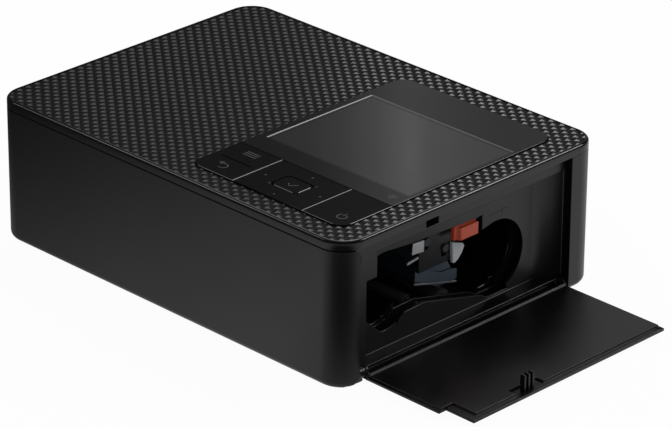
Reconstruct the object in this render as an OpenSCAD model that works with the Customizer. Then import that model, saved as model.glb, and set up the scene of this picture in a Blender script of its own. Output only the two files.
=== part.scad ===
// Compact photo printer: a small dye-sublimation printer with a bottom-hinged front cover over the
// paper port, an ink door on the right side that hinges down, and a control panel with a display.
// X points right, Y points back, Z points up. The origin is on the table, midway between the feet.

/* [Body] */
// Width of the body from side to side
body_w = 182.2; // [176:0.1:225]
// Depth of the body from front to back
body_d = 133; // [130:0.1:165]
// Height from the table to the top of the cover
body_h = 58.6; // [57:0.1:75]
// Radius of the upright corners in plan
corner_r = 10.5; // [9:0.1:12]
// Radius of the lower outer edge
bottom_r = 2.7; // [1:0.1:4]
// Radius of the upper outer edge
top_r = 1.3; // [0.5:0.1:1.5]
// Thickness of the outer walls
wall = 2.2; // [1.6:0.1:2.6]
// Thickness of the floor
floor_t = 2; // [1.5:0.1:2.4]
// Height of the rubber feet below the floor
foot_h = 1; // [0.6:0.1:1.6]
// Radius of a rubber foot
foot_r = 5; // [3:0.1:7]
// Height of the smooth side band of the top cover
band_h = 3.6; // [3.2:0.1:4.5]
// Thickness of the plate of the top cover
top_t = 2.6; // [2.2:0.1:3]
// Gap between covers and doors and what they close against
shut_gap = 0.3; // [0.2:0.05:0.5]

/* [Front cover] */
// Depth of the cover's returns round the front corners
return_d = 9.1; // [8:0.1:9.3]
// Distance of the hinge axis behind the front face
front_axis_in = 5; // [4.6:0.1:5.4]
// Radius of the hinge knuckles and ears
front_knuckle_r = 2.3; // [2:0.1:2.5]
// Radius of the steel hinge pins
front_pin_r = 1; // [0.7:0.1:1.2]
// Length of a hinge knuckle
front_knuckle_l = 5.2; // [3:0.1:6]
// Thickness of a hinge ear
ear_t = 2; // [1.5:0.1:2.4]
// Radius of the upper rear corners of the cover's returns
return_r = 3; // [1:0.1:4]
// Clear width between the inside of the front corner and the outer hinge ears
ear_room = 4.2; // [4:0.1:8]

/* [Paper path] */
// Width of the port for the paper tray
port_w = 108; // [104:0.5:109]
// Height of the port above the floor
port_h = 25; // [20:0.5:30]
// Distance of the port from the right side of the body
port_from_right = 19.1; // [18:0.1:24]
// Height of the paper slot in the rear wall
slot_h = 5.2; // [4.5:0.1:6]
// Width of the memory card slot
card_w = 24.6; // [22:0.1:26]
// Height of the memory card slot
card_h = 2.8; // [2.2:0.1:3.2]

/* [Ink door] */
// Distance of the door's free side face from the front face of the body
door_front_in = 13.7; // [13.4:0.1:16]
// Depth of the closed column behind the door
column_d = 15.2; // [14:0.1:18]
// Depth of the recess that the door closes into
door_recess = 3; // [2.8:0.1:3.4]
// Thickness of the door's outer skin
skin_t = 1.1; // [0.9:0.1:1.2]
// Thickness of the raised layer on the inside of the door
liner_t = 0.9; // [0.6:0.1:1]
// Distance of the hinge axis inside the right face
door_axis_in = 3.1; // [3:0.05:3.3]
// Height of the hinge axis above the floor's underside
door_axis_up = 4; // [3.9:0.1:4.3]
// Radius of the door's hinge pins
door_pin_r = 1; // [0.7:0.1:1.1]
// Length of the finger notch along the door's front side
notch_l = 13.1; // [10:0.1:16]
// Depth of the finger notch in the skin
notch_skin = 3.6; // [2:0.1:5]
// Depth of the finger notch in the raised layer
notch_liner = 6.9; // [5:0.1:8]

/* [Ink compartment] */
// Thickness of the side frame's pocket plate with the cassette opening
bezel_t = 1.5; // [1.2:0.1:2]
// Depth of the pocket behind the frame's face
pocket_d = 6.1; // [5:0.1:7]
// Radius of the hollow sweep at the rear end of the pocket
sweep_r = 12; // [9:0.5:14]
// Radius of the front lobe of the cassette opening
supply_r = 15.4; // [14:0.1:15.6]
// Radius of the rear lobe of the cassette opening
take_up_r = 14.3; // [13:0.1:14.4]
// Length of the cassette bay between the chassis plates
bay_l = 113.8; // [108:0.2:116]
// Thickness of the chassis plates
plate_t = 1.2; // [0.8:0.1:1.5]

/* [Mechanism] */
// Radius of the platen roller
platen_r = 4; // [3.4:0.1:4.2]
// Radius of the grip roller
grip_r = 3; // [2.4:0.1:3.1]
// Radius of the pinch roller
pinch_r = 2.2; // [1.8:0.1:2.4]
// Radius of the pickup roller
pickup_r = 4.2; // [3.6:0.1:4.3]
// Radius of the roller shafts
shaft_r = 1.5; // [1.2:0.1:1.6]
// Radial clearance of a shaft in its bore
run_gap = 0.05; // [0.02:0.01:0.1]
// Gear module
gear_m = 0.5; // [0.5:0.01:0.5]
// Width of the gears
gear_t = 3.6; // [2.5:0.1:4]
// Travel of the thermal head from raised to printing
head_travel = 1.6; // [1:0.1:1.6]
// Radius of the head cams
cam_r = 5.5; // [4.5:0.1:5.5]
// Width of the fan
fan_w = 30; // [25:0.5:30]

/* [Control panel] */
// Left side of the panel from the middle of the body
panel_left = 3.5; // [0:0.1:8]
// Margin between the panel and the right side of the body
panel_right_in = 11.1; // [10:0.1:14]
// Margin between the panel and the front of the body
panel_front_in = 10.5; // [9:0.1:14]
// Margin between the panel and the rear of the body
panel_rear_in = 12.5; // [10:0.1:16]
// Radius of the panel's front corners
panel_r = 4.8; // [4:0.1:7]
// Radius of the panel's rear corners
panel_rear_r = 6; // [4:0.1:7]
// Depth of the panel's seat in the top cover
panel_seat = 1.4; // [1:0.1:1.6]
// Height of the panel above the top cover
panel_proud = 0.3; // [0.1:0.05:0.5]
// Depth of the key area from front to back
keys_d = 25.2; // [22:0.1:26]
// Width of the rocker key on the left
rocker_w = 22.1; // [18:0.1:24]
// Width of the four-way key
pad_w = 34.6; // [30:0.1:36]
// Width of the confirm key
ok_w = 12.8; // [10:0.1:15]
// Depth of the confirm key
ok_d = 9.5; // [8:0.1:12]
// Gap between keys
key_gap = 0.3; // [0.2:0.05:0.5]
// Travel of the keys
key_travel = 0.4; // [0.2:0.05:0.45]
// Reach of the keys' flanges below the top cover
key_flange = 0.8; // [0.5:0.1:1]
// Visible width of the display
display_w = 71.8; // [60:0.1:72]
// Visible depth of the display
display_d = 54.6; // [45:0.1:55]
// Depth of the display glass below the panel
glass_in = 1; // [0.6:0.05:1]

/* [Hidden] */
$fn = 48;

// Faces of the body
right_x = body_w / 2;
left_x = -right_x;
front_y = -body_d / 2;
rear_y = body_d / 2;
under_z = foot_h;
floor_z = under_z + floor_t;
band_z = body_h - band_h;
plate_z = body_h - top_t;

// Front cover
cover_t = wall;
cover_lo = under_z + shut_gap;
cover_hi = band_z - shut_gap;
cover_end = front_y + return_d;
frame_y = cover_end + shut_gap;
front_axis_y = front_y + front_axis_in;
front_axis_z = cover_lo + front_axis_in;
frame_t = 2;
lip_d = 2;
lip_t = 1.2;
lip_gap = 0.45;
frame_back = frame_y + frame_t;
floor_front = front_axis_y + front_axis_in + 0.5;
frame_lo = front_axis_z + 0.9;
ear_x = right_x - 2 * wall - ear_room;

// Ink door, which rests open
axis_x = right_x - door_axis_in;
axis_z = under_z + door_axis_up;
door_lo = axis_z - door_axis_in;
door_split = door_lo + skin_t;
door_in = door_split + liner_t;
door_front = front_y + door_front_in;
column_y = rear_y - column_d;
door_rear = column_y - shut_gap;
door_tip = axis_x + cover_hi - axis_z;
face_x = right_x - door_recess;
bezel_x = face_x - pocket_d;
pocket_front = door_front + 1.2;
pocket_rear = column_y - 1.1;
pocket_lo = axis_z + 1.3;
pocket_hi = band_z - 5.7;
catch_y = pocket_front + 32.75;
catch_z = band_z - 3.4;
tongue_side = shut_gap + 0.1;
swing_r = 4.15;
knuckle_l = pocket_front - door_front;

// Cassette opening and spindle axes, as Y and Z
supply = [-36.2, floor_z + 25.2];
take_up = [21.3, floor_z + 19.3];

// Chassis plates
right_plate = bezel_x - bezel_t - 5.5;
left_plate = right_plate - bay_l - plate_t;
plate_top = floor_z + 45;
plate_front = -54;
plate_rear = 38;
gear_x = left_plate - 2.2 - gear_t;
motor_plate_x = gear_x - 2.2 - plate_t;

// Roller axes, as Y and Z
platen = [3.5, floor_z + 4.7];
grip = [-14, floor_z + 4.6];
pinch = [grip[0], grip[1] + grip_r + pinch_r + 0.3];
pickup = [-49.6, floor_z + 8.5];
cam = [-3, floor_z + 39];
guide_hi = [-9.5, floor_z + 33.5];
guide_lo = [0.2, floor_z + 28];
pinch_shaft_r = 1.2;
cam_shaft_r = 1.5;
cam_throw = head_travel / 2;
carriage_top = floor_z + 34;
carriage_lo = floor_z + 23;

// Gear teeth
grip_n = 15;
idler_n = 30;
pinion_n = 12;
pickup_idler_n = 36;
pickup_n = 18;
take_up_n = 40;
cam_n = 36;

// Control panel
panel_right = right_x - panel_right_in;
panel_front = front_y + panel_front_in;
panel_rear = rear_y - panel_rear_in;
seat_z = body_h - panel_seat;
panel_z = body_h + panel_proud;
glass_z = panel_z - glass_in;
glass_rim = 0.7;
strip_y = panel_front + keys_d;
display_x = panel_right - 1.4 - display_w;
display_y = strip_y + 9.8;
display_in = 1.3;
key_lo = plate_z - 0.8;
flange_z = plate_z - 0.3;
switch_z = key_lo - key_travel - 0.05;
board_z = plate_z - 3.6;
board_t = 1.2;
rocker_x = panel_left + rocker_w / 2;
pad_lo = panel_left + rocker_w + key_gap / 2;
pad_hi = pad_lo + pad_w;
pad_x = (pad_lo + pad_hi) / 2;
power_x = (pad_hi + panel_right) / 2;
key_mid_y = panel_front + keys_d / 2 - key_gap / 2;
menu_y = key_mid_y + keys_d / 4;
back_y = key_mid_y - keys_d / 4;
cable_y = key_mid_y + 4;

// Other parts
port_x = right_x - port_from_right - port_w;
card_x = left_x + 13;
card_z = floor_z + 35;
post_r = 4;
post_xy = [[left_x + 6.6, front_y + 16.5], [left_x + 12, rear_y - 10.5], [right_x - 12, rear_y - 10.5]];
post_step = floor_z + 37;
foot_x = right_x - 19;
foot_y = rear_y - 16;
fan_x = 45;
fan_z = floor_z + 29;
fan_t = 8;
fan_y = rear_y - wall - 1.8 - fan_t;
lever_y = -18;
lever_z = floor_z + 42.5;
lever_pin_r = 1.2;
lever_back = bezel_x - bezel_t - 0.3;
lever_t = 1.8;

function arc(c, r, a0, a1, n = 6) =
    [for (i = [0:n]) [c[0] + r * cos(a0 + (a1 - a0) * i / n), c[1] + r * sin(a0 + (a1 - a0) * i / n)]];

// Half outline of a round edge: radius r at the side, rb below and rt above
function edge_outline(r, z_lo, z_hi, rb, rt) = concat(
    [[0, z_lo]],
    rb > 0 ? arc([r - rb, z_lo + rb], rb, -90, 0) : [[r, z_lo]],
    rt > 0 ? arc([r - rt, z_hi - rt], rt, 0, 90) : [[r, z_hi]],
    [[0, z_hi]]
);

// Same outline on both sides of the middle
function slab_outline(half, z_lo, z_hi, rb, rt) =
    let (side = [for (p = edge_outline(half, z_lo, z_hi, rb, rt)) if (p[0] > 0) p])
    concat(side, [for (i = [len(side) - 1:-1:0]) [-side[i][0], side[i][1]]]);

// Gear phases: a gear meets its neighbour with a tooth in the neighbour's gap
function pitch_r(n) = gear_m * n / 2;

function bearing(a, b) = atan2(b[1] - a[1], b[0] - a[0]);

function next_phase(phase, n_a, a, b, n_b) =
    let (turns = (bearing(a, b) - phase) * n_a / 360)
    bearing(a, b) + 180 + (turns - floor(turns) - 0.5) * 360 / n_b;

// Point at distances da from a and db from b, on the left of the way from a to b when side is 1
function meet(a, da, b, db, side = 1) =
    let (d = norm(b - a), s = (d * d + da * da - db * db) / (2 * d), h = sqrt(max(da * da - s * s, 0)))
    a + (b - a) * s / d + side * h * [-(b[1] - a[1]), b[0] - a[0]] / d;

// Gear centres, as Y and Z
feed_idler_c = grip + (pitch_r(grip_n) + pitch_r(idler_n)) * [cos(125), sin(125)];
feed_pinion_c = feed_idler_c + (pitch_r(idler_n) + pitch_r(pinion_n)) * [cos(128), sin(128)];
pickup_idler_c = meet(
    feed_idler_c, pitch_r(idler_n) + pitch_r(pickup_idler_n), pickup, pitch_r(pickup_idler_n) + pitch_r(pickup_n), -1
);
ribbon_pinion_c = take_up + (pitch_r(take_up_n) + pitch_r(pinion_n)) * [cos(43), sin(43)];
head_pinion_c = cam + (pitch_r(cam_n) + pitch_r(pinion_n)) * [cos(-30), sin(-30)];
idler_phase = next_phase(0, grip_n, grip, feed_idler_c, idler_n);
feed_pinion_phase = next_phase(idler_phase, idler_n, feed_idler_c, feed_pinion_c, pinion_n);
pickup_idler_phase = next_phase(idler_phase, idler_n, feed_idler_c, pickup_idler_c, pickup_idler_n);
pickup_phase = next_phase(pickup_idler_phase, pickup_idler_n, pickup_idler_c, pickup, pickup_n);
ribbon_pinion_phase = next_phase(0, take_up_n, take_up, ribbon_pinion_c, pinion_n);
head_pinion_phase = next_phase(0, cam_n, cam, head_pinion_c, pinion_n);

// Solid with round upright corners and round lower and upper edges
module rounded_block(w, d, z_lo, z_hi, r, rb, rt) {
    for (sx = [-1, 1], sy = [-1, 1])
        translate([sx * (w / 2 - r), sy * (d / 2 - r), 0])
            rotate_extrude()
                polygon(edge_outline(r, z_lo, z_hi, rb, rt));
    rotate([90, 0, 90])
        linear_extrude(w - 2 * r, center = true)
            polygon(slab_outline(d / 2, z_lo, z_hi, rb, rt));
    rotate([90, 0, 0])
        linear_extrude(d - 2 * r, center = true)
            polygon(slab_outline(w / 2, z_lo, z_hi, rb, rt));
}

// Box from one corner to the other
module box(a, b) {
    translate(a)
        cube(b - a);
}

// Cylinder along X from x0 to x1 at c, which is Y and Z
module x_rod(c, r, x0, x1) {
    translate([x0, c[0], c[1]])
        rotate([0, 90, 0])
            cylinder(h = x1 - x0, r = r);
}

// Cylinder along Y from y0 to y1 at x and z
module y_rod(x, z, r, y0, y1) {
    translate([x, y0, z])
        rotate([-90, 0, 0])
            cylinder(h = y1 - y0, r = r);
}

module z_rod(x, y, r, z0, z1) {
    translate([x, y, z0])
        cylinder(h = z1 - z0, r = r);
}

// Shape drawn in Y and Z, drawn out along X
module x_slab(x0, x1) {
    translate([x0, 0, 0])
        rotate([90, 0, 90])
            linear_extrude(x1 - x0)
                children();
}

// Shape drawn in X and Z, drawn out along Y
module y_slab(y0, y1) {
    translate([0, y1, 0])
        rotate([90, 0, 0])
            linear_extrude(y1 - y0)
                children();
}

// Rectangle from corner a to corner b and from z0 to z1, front corners r, rear corners r_rear
module pad(a, b, r, z0, z1, r_rear = undef) {
    q = is_undef(r_rear) ? r : r_rear;
    for (x = [0, 1]) {
        if (r > 0)
            z_rod(x > 0 ? b[0] - r : a[0] + r, a[1] + r, r, z0, z1);
        if (q > 0)
            z_rod(x > 0 ? b[0] - q : a[0] + q, b[1] - q, q, z0, z1);
    }
    box([a[0] + r, a[1], z0], [b[0] - r, b[1] - q, z1]);
    box([a[0], a[1] + r, z0], [b[0], b[1] - q, z1]);
    box([a[0] + q, b[1] - q - 0.1, z0], [b[0] - q, b[1], z1]);
}

// Spur gear along X with its bore, its teeth thin enough to run with backlash
module spur(c, n, phase, x0, x1, bore) {
    p = 360 / n;
    tip = pitch_r(n) + 0.8 * gear_m;
    root = pitch_r(n) - 1.1 * gear_m;
    difference() {
        x_slab(x0, x1)
            translate(c)
                rotate(phase)
                    polygon([for (i = [0:n - 1], q = [[root, -0.3], [tip, -0.1], [tip, 0.1], [root, 0.3]])
                        q[0] * [cos((i + q[1]) * p), sin((i + q[1]) * p)]]);
        if (bore > 0)
            x_rod(c, bore, x0 - 1, x1 + 1);
    }
}

// Outline of the cassette opening in Y and Z, grown by g
module cassette_outline(g = 0) {
    intersection() {
        translate(supply)
            circle(supply_r + g);
        translate(supply + [0, 0])
            polygon([
                [-supply_r - 2 - g, -1], [-1.9 - g / 2, -supply_r - g], [6.6 + g, -supply_r - g],
                [supply_r + 2 + g, -supply_r], [supply_r + 2 + g, supply_r + g], [-supply_r - 2 - g, supply_r + g]
            ]);
    }
    translate(take_up)
        circle(take_up_r + g);
    polygon([
        [supply[0] + 6.4, supply[1] - supply_r - g],
        [supply[0] + 8.4 + g / 2, supply[1] - 11.7 - g],
        [supply[0] + 20.6, supply[1] - 11.4 - g],
        [take_up[0] - 7, take_up[1] - 13.1 - g],
        [take_up[0] - 4, take_up[1] - 15.1 - g],
        [take_up[0] + 6.7, take_up[1] - 15.1 - g],
        [take_up[0], take_up[1]],
        [take_up[0] - 1.6, take_up[1] + take_up_r + g],
        [take_up[0] - 7.7 + g, take_up[1] + 13],
        [take_up[0] - 7.7 + g, take_up[1] + 19 + g],
        [take_up[0] - 18.5 - g, take_up[1] + 19 + g],
        [supply[0] + 12, supply[1] + 14.2 + g],
        [supply[0], supply[1] + supply_r + g]
    ]);
}

module base_case() {
    color("#1d1d1f")
        difference() {
            union() {
                difference() {
                    rounded_block(body_w, body_d, under_z, band_z, corner_r, bottom_r, 0);
                    rounded_block(body_w - 2 * wall, body_d - 2 * wall, floor_z, band_z + 1, corner_r - wall, 0.5, 0);
                }
                column_front();
                front_lips();
                cover_posts();
                board_posts();
            }
            front_bay();
            door_bay();
            rear_openings();
            for (p = post_xy) {
                z_rod(p[0], p[1], post_r - 1, under_z - 1, post_step);
                z_rod(p[0], p[1], 1.6, under_z, band_z + 1);
            }
            for (p = chassis_screw_xy)
                z_rod(p[0], p[1], 1.2, under_z + 0.6, floor_z + 1);
            y_rod(axis_x, axis_z, door_pin_r + run_gap, column_y - 1, column_y + 1.9);
        }
}

// Wall that closes the right rear column towards the door recess
module column_front() {
    intersection() {
        rounded_block(body_w, body_d, under_z, band_z, corner_r, bottom_r, 0);
        box([bezel_x - bezel_t, column_y, under_z], [right_x + 1, column_y + 2, band_z]);
    }
}

// Low walls on both sides of the port, clear of the front cover's swing
module front_lips() {
    box([left_x + 1, floor_front, under_z + 1], [port_x - 1, floor_front + 1.8, frame_lo]);
    box([port_x + port_w + 1, floor_front, under_z + 1], [axis_x - swing_r - 1, floor_front + 1.8, frame_lo]);
}

module cover_posts() {
    for (p = post_xy)
        z_rod(p[0], p[1], post_r, floor_z - 0.5, post_step + 4);
}

// Pads on the left wall that carry the main board, and posts that carry the rear board
module board_posts() {
    for (y = [board_y0 + 4, board_y1 - 4], z = [main_lo + 4, main_hi - 4])
        x_rod([y, z], 2.5, left_x + 1, main_x);
    for (x = [rear_board_x0 + 3, rear_board_x1 - 3])
        z_rod(x, rear_board_y0 + 4, 2.5, floor_z - 0.5, rear_board_z);
}

// Space of the front cover, its returns and its swing
module front_bay() {
    box([left_x - 1, front_y - 1, under_z - 1], [right_x + 1, frame_y, band_z + 1]);
    box([left_x - 1, front_y - 1, under_z - 1], [right_x + 1, floor_front, frame_lo - 0.4]);
}

// Space of the side frame, the ink door and its swing
module door_bay() {
    box([face_x, front_y - 1, under_z - 1], [right_x + 1, column_y, band_z + 1]);
    box([axis_x - swing_r - 0.2, front_y - 1, under_z - 1], [right_x + 1, column_y, floor_z + 1]);
    box([right_x - wall - 1, frame_y - 1, floor_z], [right_x + 1, column_y, band_z + 1]);
}

module rear_openings() {
    box([port_x, rear_y - 5, floor_z + 1.6], [port_x + port_w, rear_y + 1, floor_z + 1.6 + slot_h]);
    for (i = [-4:4])
        pad_y([fan_x + i * 3.2 - 0.8, fan_z - fan_w / 2 + 3], [fan_x + i * 3.2 + 0.8, fan_z + fan_w / 2 - 3]);
    y_rod(inlet_x, inlet_z, inlet_r + 0.3, rear_y - 5, rear_y + 1);
    pad_y([data_x - 5, data_z - 2], [data_x + 5, data_z + 2]);
    for (i = [0:7])
        box([-30 + i * 12, 20, under_z - 1], [-24 + i * 12, 22, floor_z + 1]);
}

// Slot through the rear wall, from corner a to corner b in X and Z
module pad_y(a, b) {
    box([a[0], rear_y - 5, a[1]], [b[0], rear_y + 1, b[1]]);
}

module top_cover() {
    color("#222224")
        difference() {
            union() {
                difference() {
                    rounded_block(body_w, body_d, band_z, body_h, corner_r, 0, top_r);
                    rounded_block(body_w - 2 * wall, body_d - 2 * wall, band_z - 1, plate_z, corner_r - wall, 0, 0);
                }
                for (p = post_xy)
                    z_rod(p[0], p[1], post_r - 1, post_step + 4, plate_z + 0.5);
                for (x = [panel_left + 3.4, panel_right - 3.4])
                    z_rod(x, display_y - 4, 1.6, board_z + board_t, plate_z + 0.5);
            }
            pad(
                [panel_left - 0.15, strip_y], [panel_right + 0.15, panel_rear + 0.15],
                0, seat_z, body_h + 1, panel_rear_r + 0.15
            );
            pad(
                [panel_left - key_gap, panel_front - key_gap], [panel_right + key_gap, strip_y],
                panel_r + key_gap, plate_z - 1, body_h + 1, 0
            );
            box(
                [display_x + display_in, display_y + display_in, plate_z - 1],
                [display_x + display_w - display_in, display_y + display_d - display_in, seat_z + 1]
            );
            for (p = post_xy)
                z_rod(p[0], p[1], 1.2, post_step, plate_z - 1);
        }
}

module front_frame() {
    color("#1a1a1c")
        difference() {
            union() {
                box([left_x + wall + 0.2, frame_y, frame_lo], [bezel_x + 2.2, frame_back, band_z - 0.3]);
                for (s = [-1, 1])
                    front_ears(s);
                mirror([1, 0, 0])
                    seam_lip();
                box([card_x - 2, frame_y, card_z - 3], [card_x + card_w + 2, frame_back + 1, card_z + card_h + 3]);
            }
            box([port_x, frame_y - 1, frame_lo - 1], [port_x + port_w, frame_back + 2, floor_z + port_h]);
            box([card_x, frame_y - 1, card_z], [card_x + card_w, frame_back + 2, card_z + card_h]);
            x_rod([front_axis_y, front_axis_z], front_pin_r, left_x, right_x);
        }
}

// Thin lip that closes the seam behind one return of the front cover
module seam_lip() {
    from_corner = corner_r - return_d - shut_gap + lip_d;
    cover_inside = right_x - corner_r + sqrt(pow(corner_r - cover_t, 2) - pow(from_corner, 2));
    x = cover_inside - lip_gap - lip_t;
    box([x, frame_y - lip_d, front_axis_z + 6], [x + lip_t, frame_y + 0.5, cover_hi - shut_gap]);
}

// Two ears on each side that hold a hinge pin of the front cover
module front_ears(s) {
    for (x = [ear_x - ear_t, ear_x - 2 * ear_t - front_knuckle_l - 2 * shut_gap])
        mirror([s < 0 ? 1 : 0, 0, 0])
            x_slab(x, x + ear_t) {
                translate([front_axis_y, front_axis_z])
                    circle(front_knuckle_r);
                polygon([
                    [front_axis_y - 0.6, front_axis_z + front_knuckle_r - 0.2],
                    [front_axis_y + front_knuckle_r - 0.1, front_axis_z + 0.3],
                    [frame_y + 0.5, front_axis_z + 1.4],
                    [frame_y + 0.5, front_axis_z + 7.5]
                ]);
            }
}

module side_frame() {
    color("#1b1b1d")
        difference() {
            union() {
                box([bezel_x - bezel_t, frame_back, pocket_lo - 1], [face_x, column_y, band_z - 0.2]);
                box([bezel_x + 2.2, frame_y, under_z + 0.2], [face_x, pocket_front, band_z - 0.2]);
                seam_lip();
                box([bezel_x - bezel_t, frame_back, floor_z], [bezel_x, column_y, pocket_lo]);
                box([bezel_x + 2.2, pocket_rear, under_z + 0.2], [face_x, column_y, pocket_lo]);
                y_rod(axis_x, axis_z, door_pin_r + 1, floor_front, door_front - shut_gap);
            }
            box([bezel_x, frame_y - 1, under_z - 1], [right_x, floor_front, frame_lo - 0.4]);
            box([bezel_x - bezel_t - 1, frame_back - 1, floor_z - 1], [axis_x - swing_r - 1, floor_front + 2, frame_lo]);
            side_pocket();
            x_slab(bezel_x - bezel_t - 1, bezel_x + 1)
                cassette_outline();
            box([face_x - 5.6, catch_y - 3.15, catch_z - 1.5], [face_x + 1, catch_y + 3.15, catch_z + 1.5]);
            hinge_relief();
            y_rod(axis_x, axis_z, door_pin_r + run_gap, door_front - shut_gap - 2.1, column_y + 1);
            box([bezel_x - bezel_t - 1, frame_back, pocket_hi + 1.6], [face_x - 2, catch_y - 5, band_z]);
            box([bezel_x - bezel_t - 1, catch_y + 5, pocket_hi + 1.6], [face_x - 2, column_y - 2, band_z]);
            box([bezel_x + 1, frame_y - 1, under_z], [face_x - 2, pocket_front - 1.6, pocket_hi - 12]);
            x_rod([lever_y, lever_z], lever_pin_r, bezel_x - bezel_t - 1, bezel_x - 0.4);
            for (p = post_xy)
                z_rod(p[0], p[1], post_r + shut_gap, floor_z, band_z);
        }
}

// Pocket behind the frame's face, wide at the front except for the finger block, hollow at the rear
module side_pocket() {
    block_y = pocket_front + 5.2;
    block_z = pocket_hi - 9.8;
    sweep_y = pocket_rear - sqrt(sweep_r * sweep_r - (sweep_r - pocket_d) * (sweep_r - pocket_d));
    difference() {
        union() {
            box([bezel_x, pocket_front, pocket_lo], [face_x + 1, sweep_y, pocket_hi]);
            intersection() {
                z_rod(bezel_x + sweep_r, sweep_y, sweep_r, pocket_lo, pocket_hi);
                box([bezel_x, sweep_y - 1, pocket_lo], [face_x, pocket_rear + 1, pocket_hi]);
            }
        }
        box([bezel_x - 1, pocket_front - 1, block_z], [face_x + 2, block_y, pocket_hi + 1]);
    }
}

// Room for the door's hinge side and its knuckles to turn
module hinge_relief() {
    box([axis_x - swing_r, pocket_front, under_z - 1], [face_x + 2, pocket_rear, pocket_lo - 1]);
    box([axis_x - 2.4, door_front - shut_gap, under_z - 1], [face_x + 2, pocket_front + shut_gap, axis_z + 2.4]);
    box([axis_x - 2.4, door_rear - knuckle_l - shut_gap, under_z - 1], [face_x + 2, column_y + 1, axis_z + 2.4]);
}

module rubber_feet() {
    color("#2b2b2b")
        for (x = [-foot_x, foot_x], y = [-foot_y, foot_y])
            z_rod(x, y, foot_r, 0, under_z);
}

module front_cover() {
    axis = [front_axis_y, front_axis_z];
    color("#202022")
        difference() {
            union() {
                difference() {
                    intersection() {
                        rounded_block(body_w, body_d, cover_lo, cover_hi, corner_r, bottom_r, 0.4);
                        box([left_x - 1, front_y - 1, 0], [right_x + 1, cover_end, body_h]);
                    }
                    rounded_block(
                        body_w - 2 * cover_t, body_d - 2 * cover_t, cover_lo - 1, cover_hi + 1, corner_r - cover_t, 0, 0
                    );
                    box([left_x - 1, axis[0] - 0.3, 0], [right_x + 1, cover_end + 1, axis[1]]);
                    x_slab(left_x - 1, right_x + 1)
                        difference() {
                            translate([cover_end - return_r, cover_hi - return_r])
                                square(return_r + 1);
                            translate([cover_end - return_r, cover_hi - return_r])
                                circle(return_r);
                        }
                }
                cover_corners(axis);
                for (s = [-1, 1])
                    mirror([s < 0 ? 1 : 0, 0, 0])
                        front_knuckle(axis);
            }
            x_rod(axis, front_pin_r + run_gap, -ear_x - shut_gap, ear_x + shut_gap);
        }
}

// Lower rear corners of the returns, rounded about the hinge axis so that they clear the frame
module cover_corners(axis) {
    corner_reach = cover_end - axis[0];
    intersection() {
        difference() {
            rounded_block(body_w, body_d, cover_lo, cover_hi, corner_r, bottom_r, 0.4);
            rounded_block(
                body_w - 2 * cover_t, body_d - 2 * cover_t, cover_lo - 1, cover_hi + 1, corner_r - cover_t, 0, 0
            );
        }
        x_rod(axis, corner_reach, left_x - 1, right_x + 1);
        box([left_x - 1, axis[0] - 0.5, 0], [right_x + 1, cover_end, axis[1] + 1]);
    }
}

module front_knuckle(axis) {
    x1 = ear_x - ear_t - shut_gap;
    x_rod(axis, front_knuckle_r, x1 - front_knuckle_l, x1);
    box([x1 - front_knuckle_l, front_y + cover_t - 0.5, axis[1] - 2], [x1, axis[0], axis[1] + 2]);
}

module front_hinge_pins() {
    reach = 2 * ear_t + front_knuckle_l + 2 * shut_gap;
    color("#9a9da2")
        for (s = [-1, 1])
            mirror([s < 0 ? 1 : 0, 0, 0])
                x_rod([front_axis_y, front_axis_z], front_pin_r, ear_x - reach, ear_x);
}

// Door lies open: skin below, raised layer above, hinge side curled up round the axis
module ink_door() {
    curl_r = bottom_r;
    curl = [axis_x + curl_r - door_axis_up + shut_gap, door_lo + curl_r];
    plate_x = axis_x + 1.2;
    color("#1e1e20")
        difference() {
            union() {
                box([plate_x, door_front, door_lo], [door_tip, door_rear, door_split]);
                box([plate_x + 1.6, door_front + 0.8, door_split - 0.1], [door_tip - 2.1, door_rear - 0.8, door_in]);
                y_slab(pocket_front + tongue_side, pocket_rear - tongue_side)
                    polygon(concat(
                        arc(curl, curl_r, 180, 270),
                        [[plate_x + 0.5, door_lo], [plate_x + 0.5, door_split]],
                        arc(curl, curl_r - skin_t, 270, 180)
                    ));
                y_rod(axis_x + 2, door_split + 0.65, 0.95, door_front + 0.6, door_rear - 0.6);
                for (y = [door_front, door_rear - knuckle_l]) {
                    y_rod(axis_x, axis_z, door_pin_r + 0.9, y, y + knuckle_l);
                    box([axis_x - 1, y, door_lo + 0.1], [axis_x + 2.5, y + knuckle_l, axis_z - 0.3]);
                }
            }
            box([door_tip - notch_l, door_front - 1, 0], [door_tip + 1, door_front + notch_skin, door_in + 1]);
            box([door_tip - notch_l, door_front - 1, door_split], [door_tip + 1, door_front + notch_liner, door_in + 1]);
            box([catch_x - 2.4, catch_y - 6.8, door_split], [catch_x + 1.5, catch_y + 7.4, door_in + 1]);
            for (y = [door_front - 1, door_rear - knuckle_l])
                y_rod(axis_x, axis_z, door_pin_r, y, y + knuckle_l + 1);
        }
}

module door_hinge_pins() {
    color("#9a9da2") {
        y_rod(axis_x, axis_z, door_pin_r, door_front - 2.2, door_front + knuckle_l);
        y_rod(axis_x, axis_z, door_pin_r, door_rear - knuckle_l, door_rear + 2);
    }
}

// Comb of three ribs that snaps into the catch slot above the pocket
module door_latch() {
    color("#1e1e20") {
        box([catch_x - 1.1, catch_y - 2.55, door_split], [catch_x - 0.2, catch_y + 2.55, door_in + 4.4]);
        for (i = [-1:1])
            box([catch_x - 1.1, catch_y + i * 2.1 - 0.45, door_split], [catch_x + 1.1, catch_y + i * 2.1 + 0.45, door_in + 5.4]);
    }
}

catch_x = axis_x + catch_z - axis_z;

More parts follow.
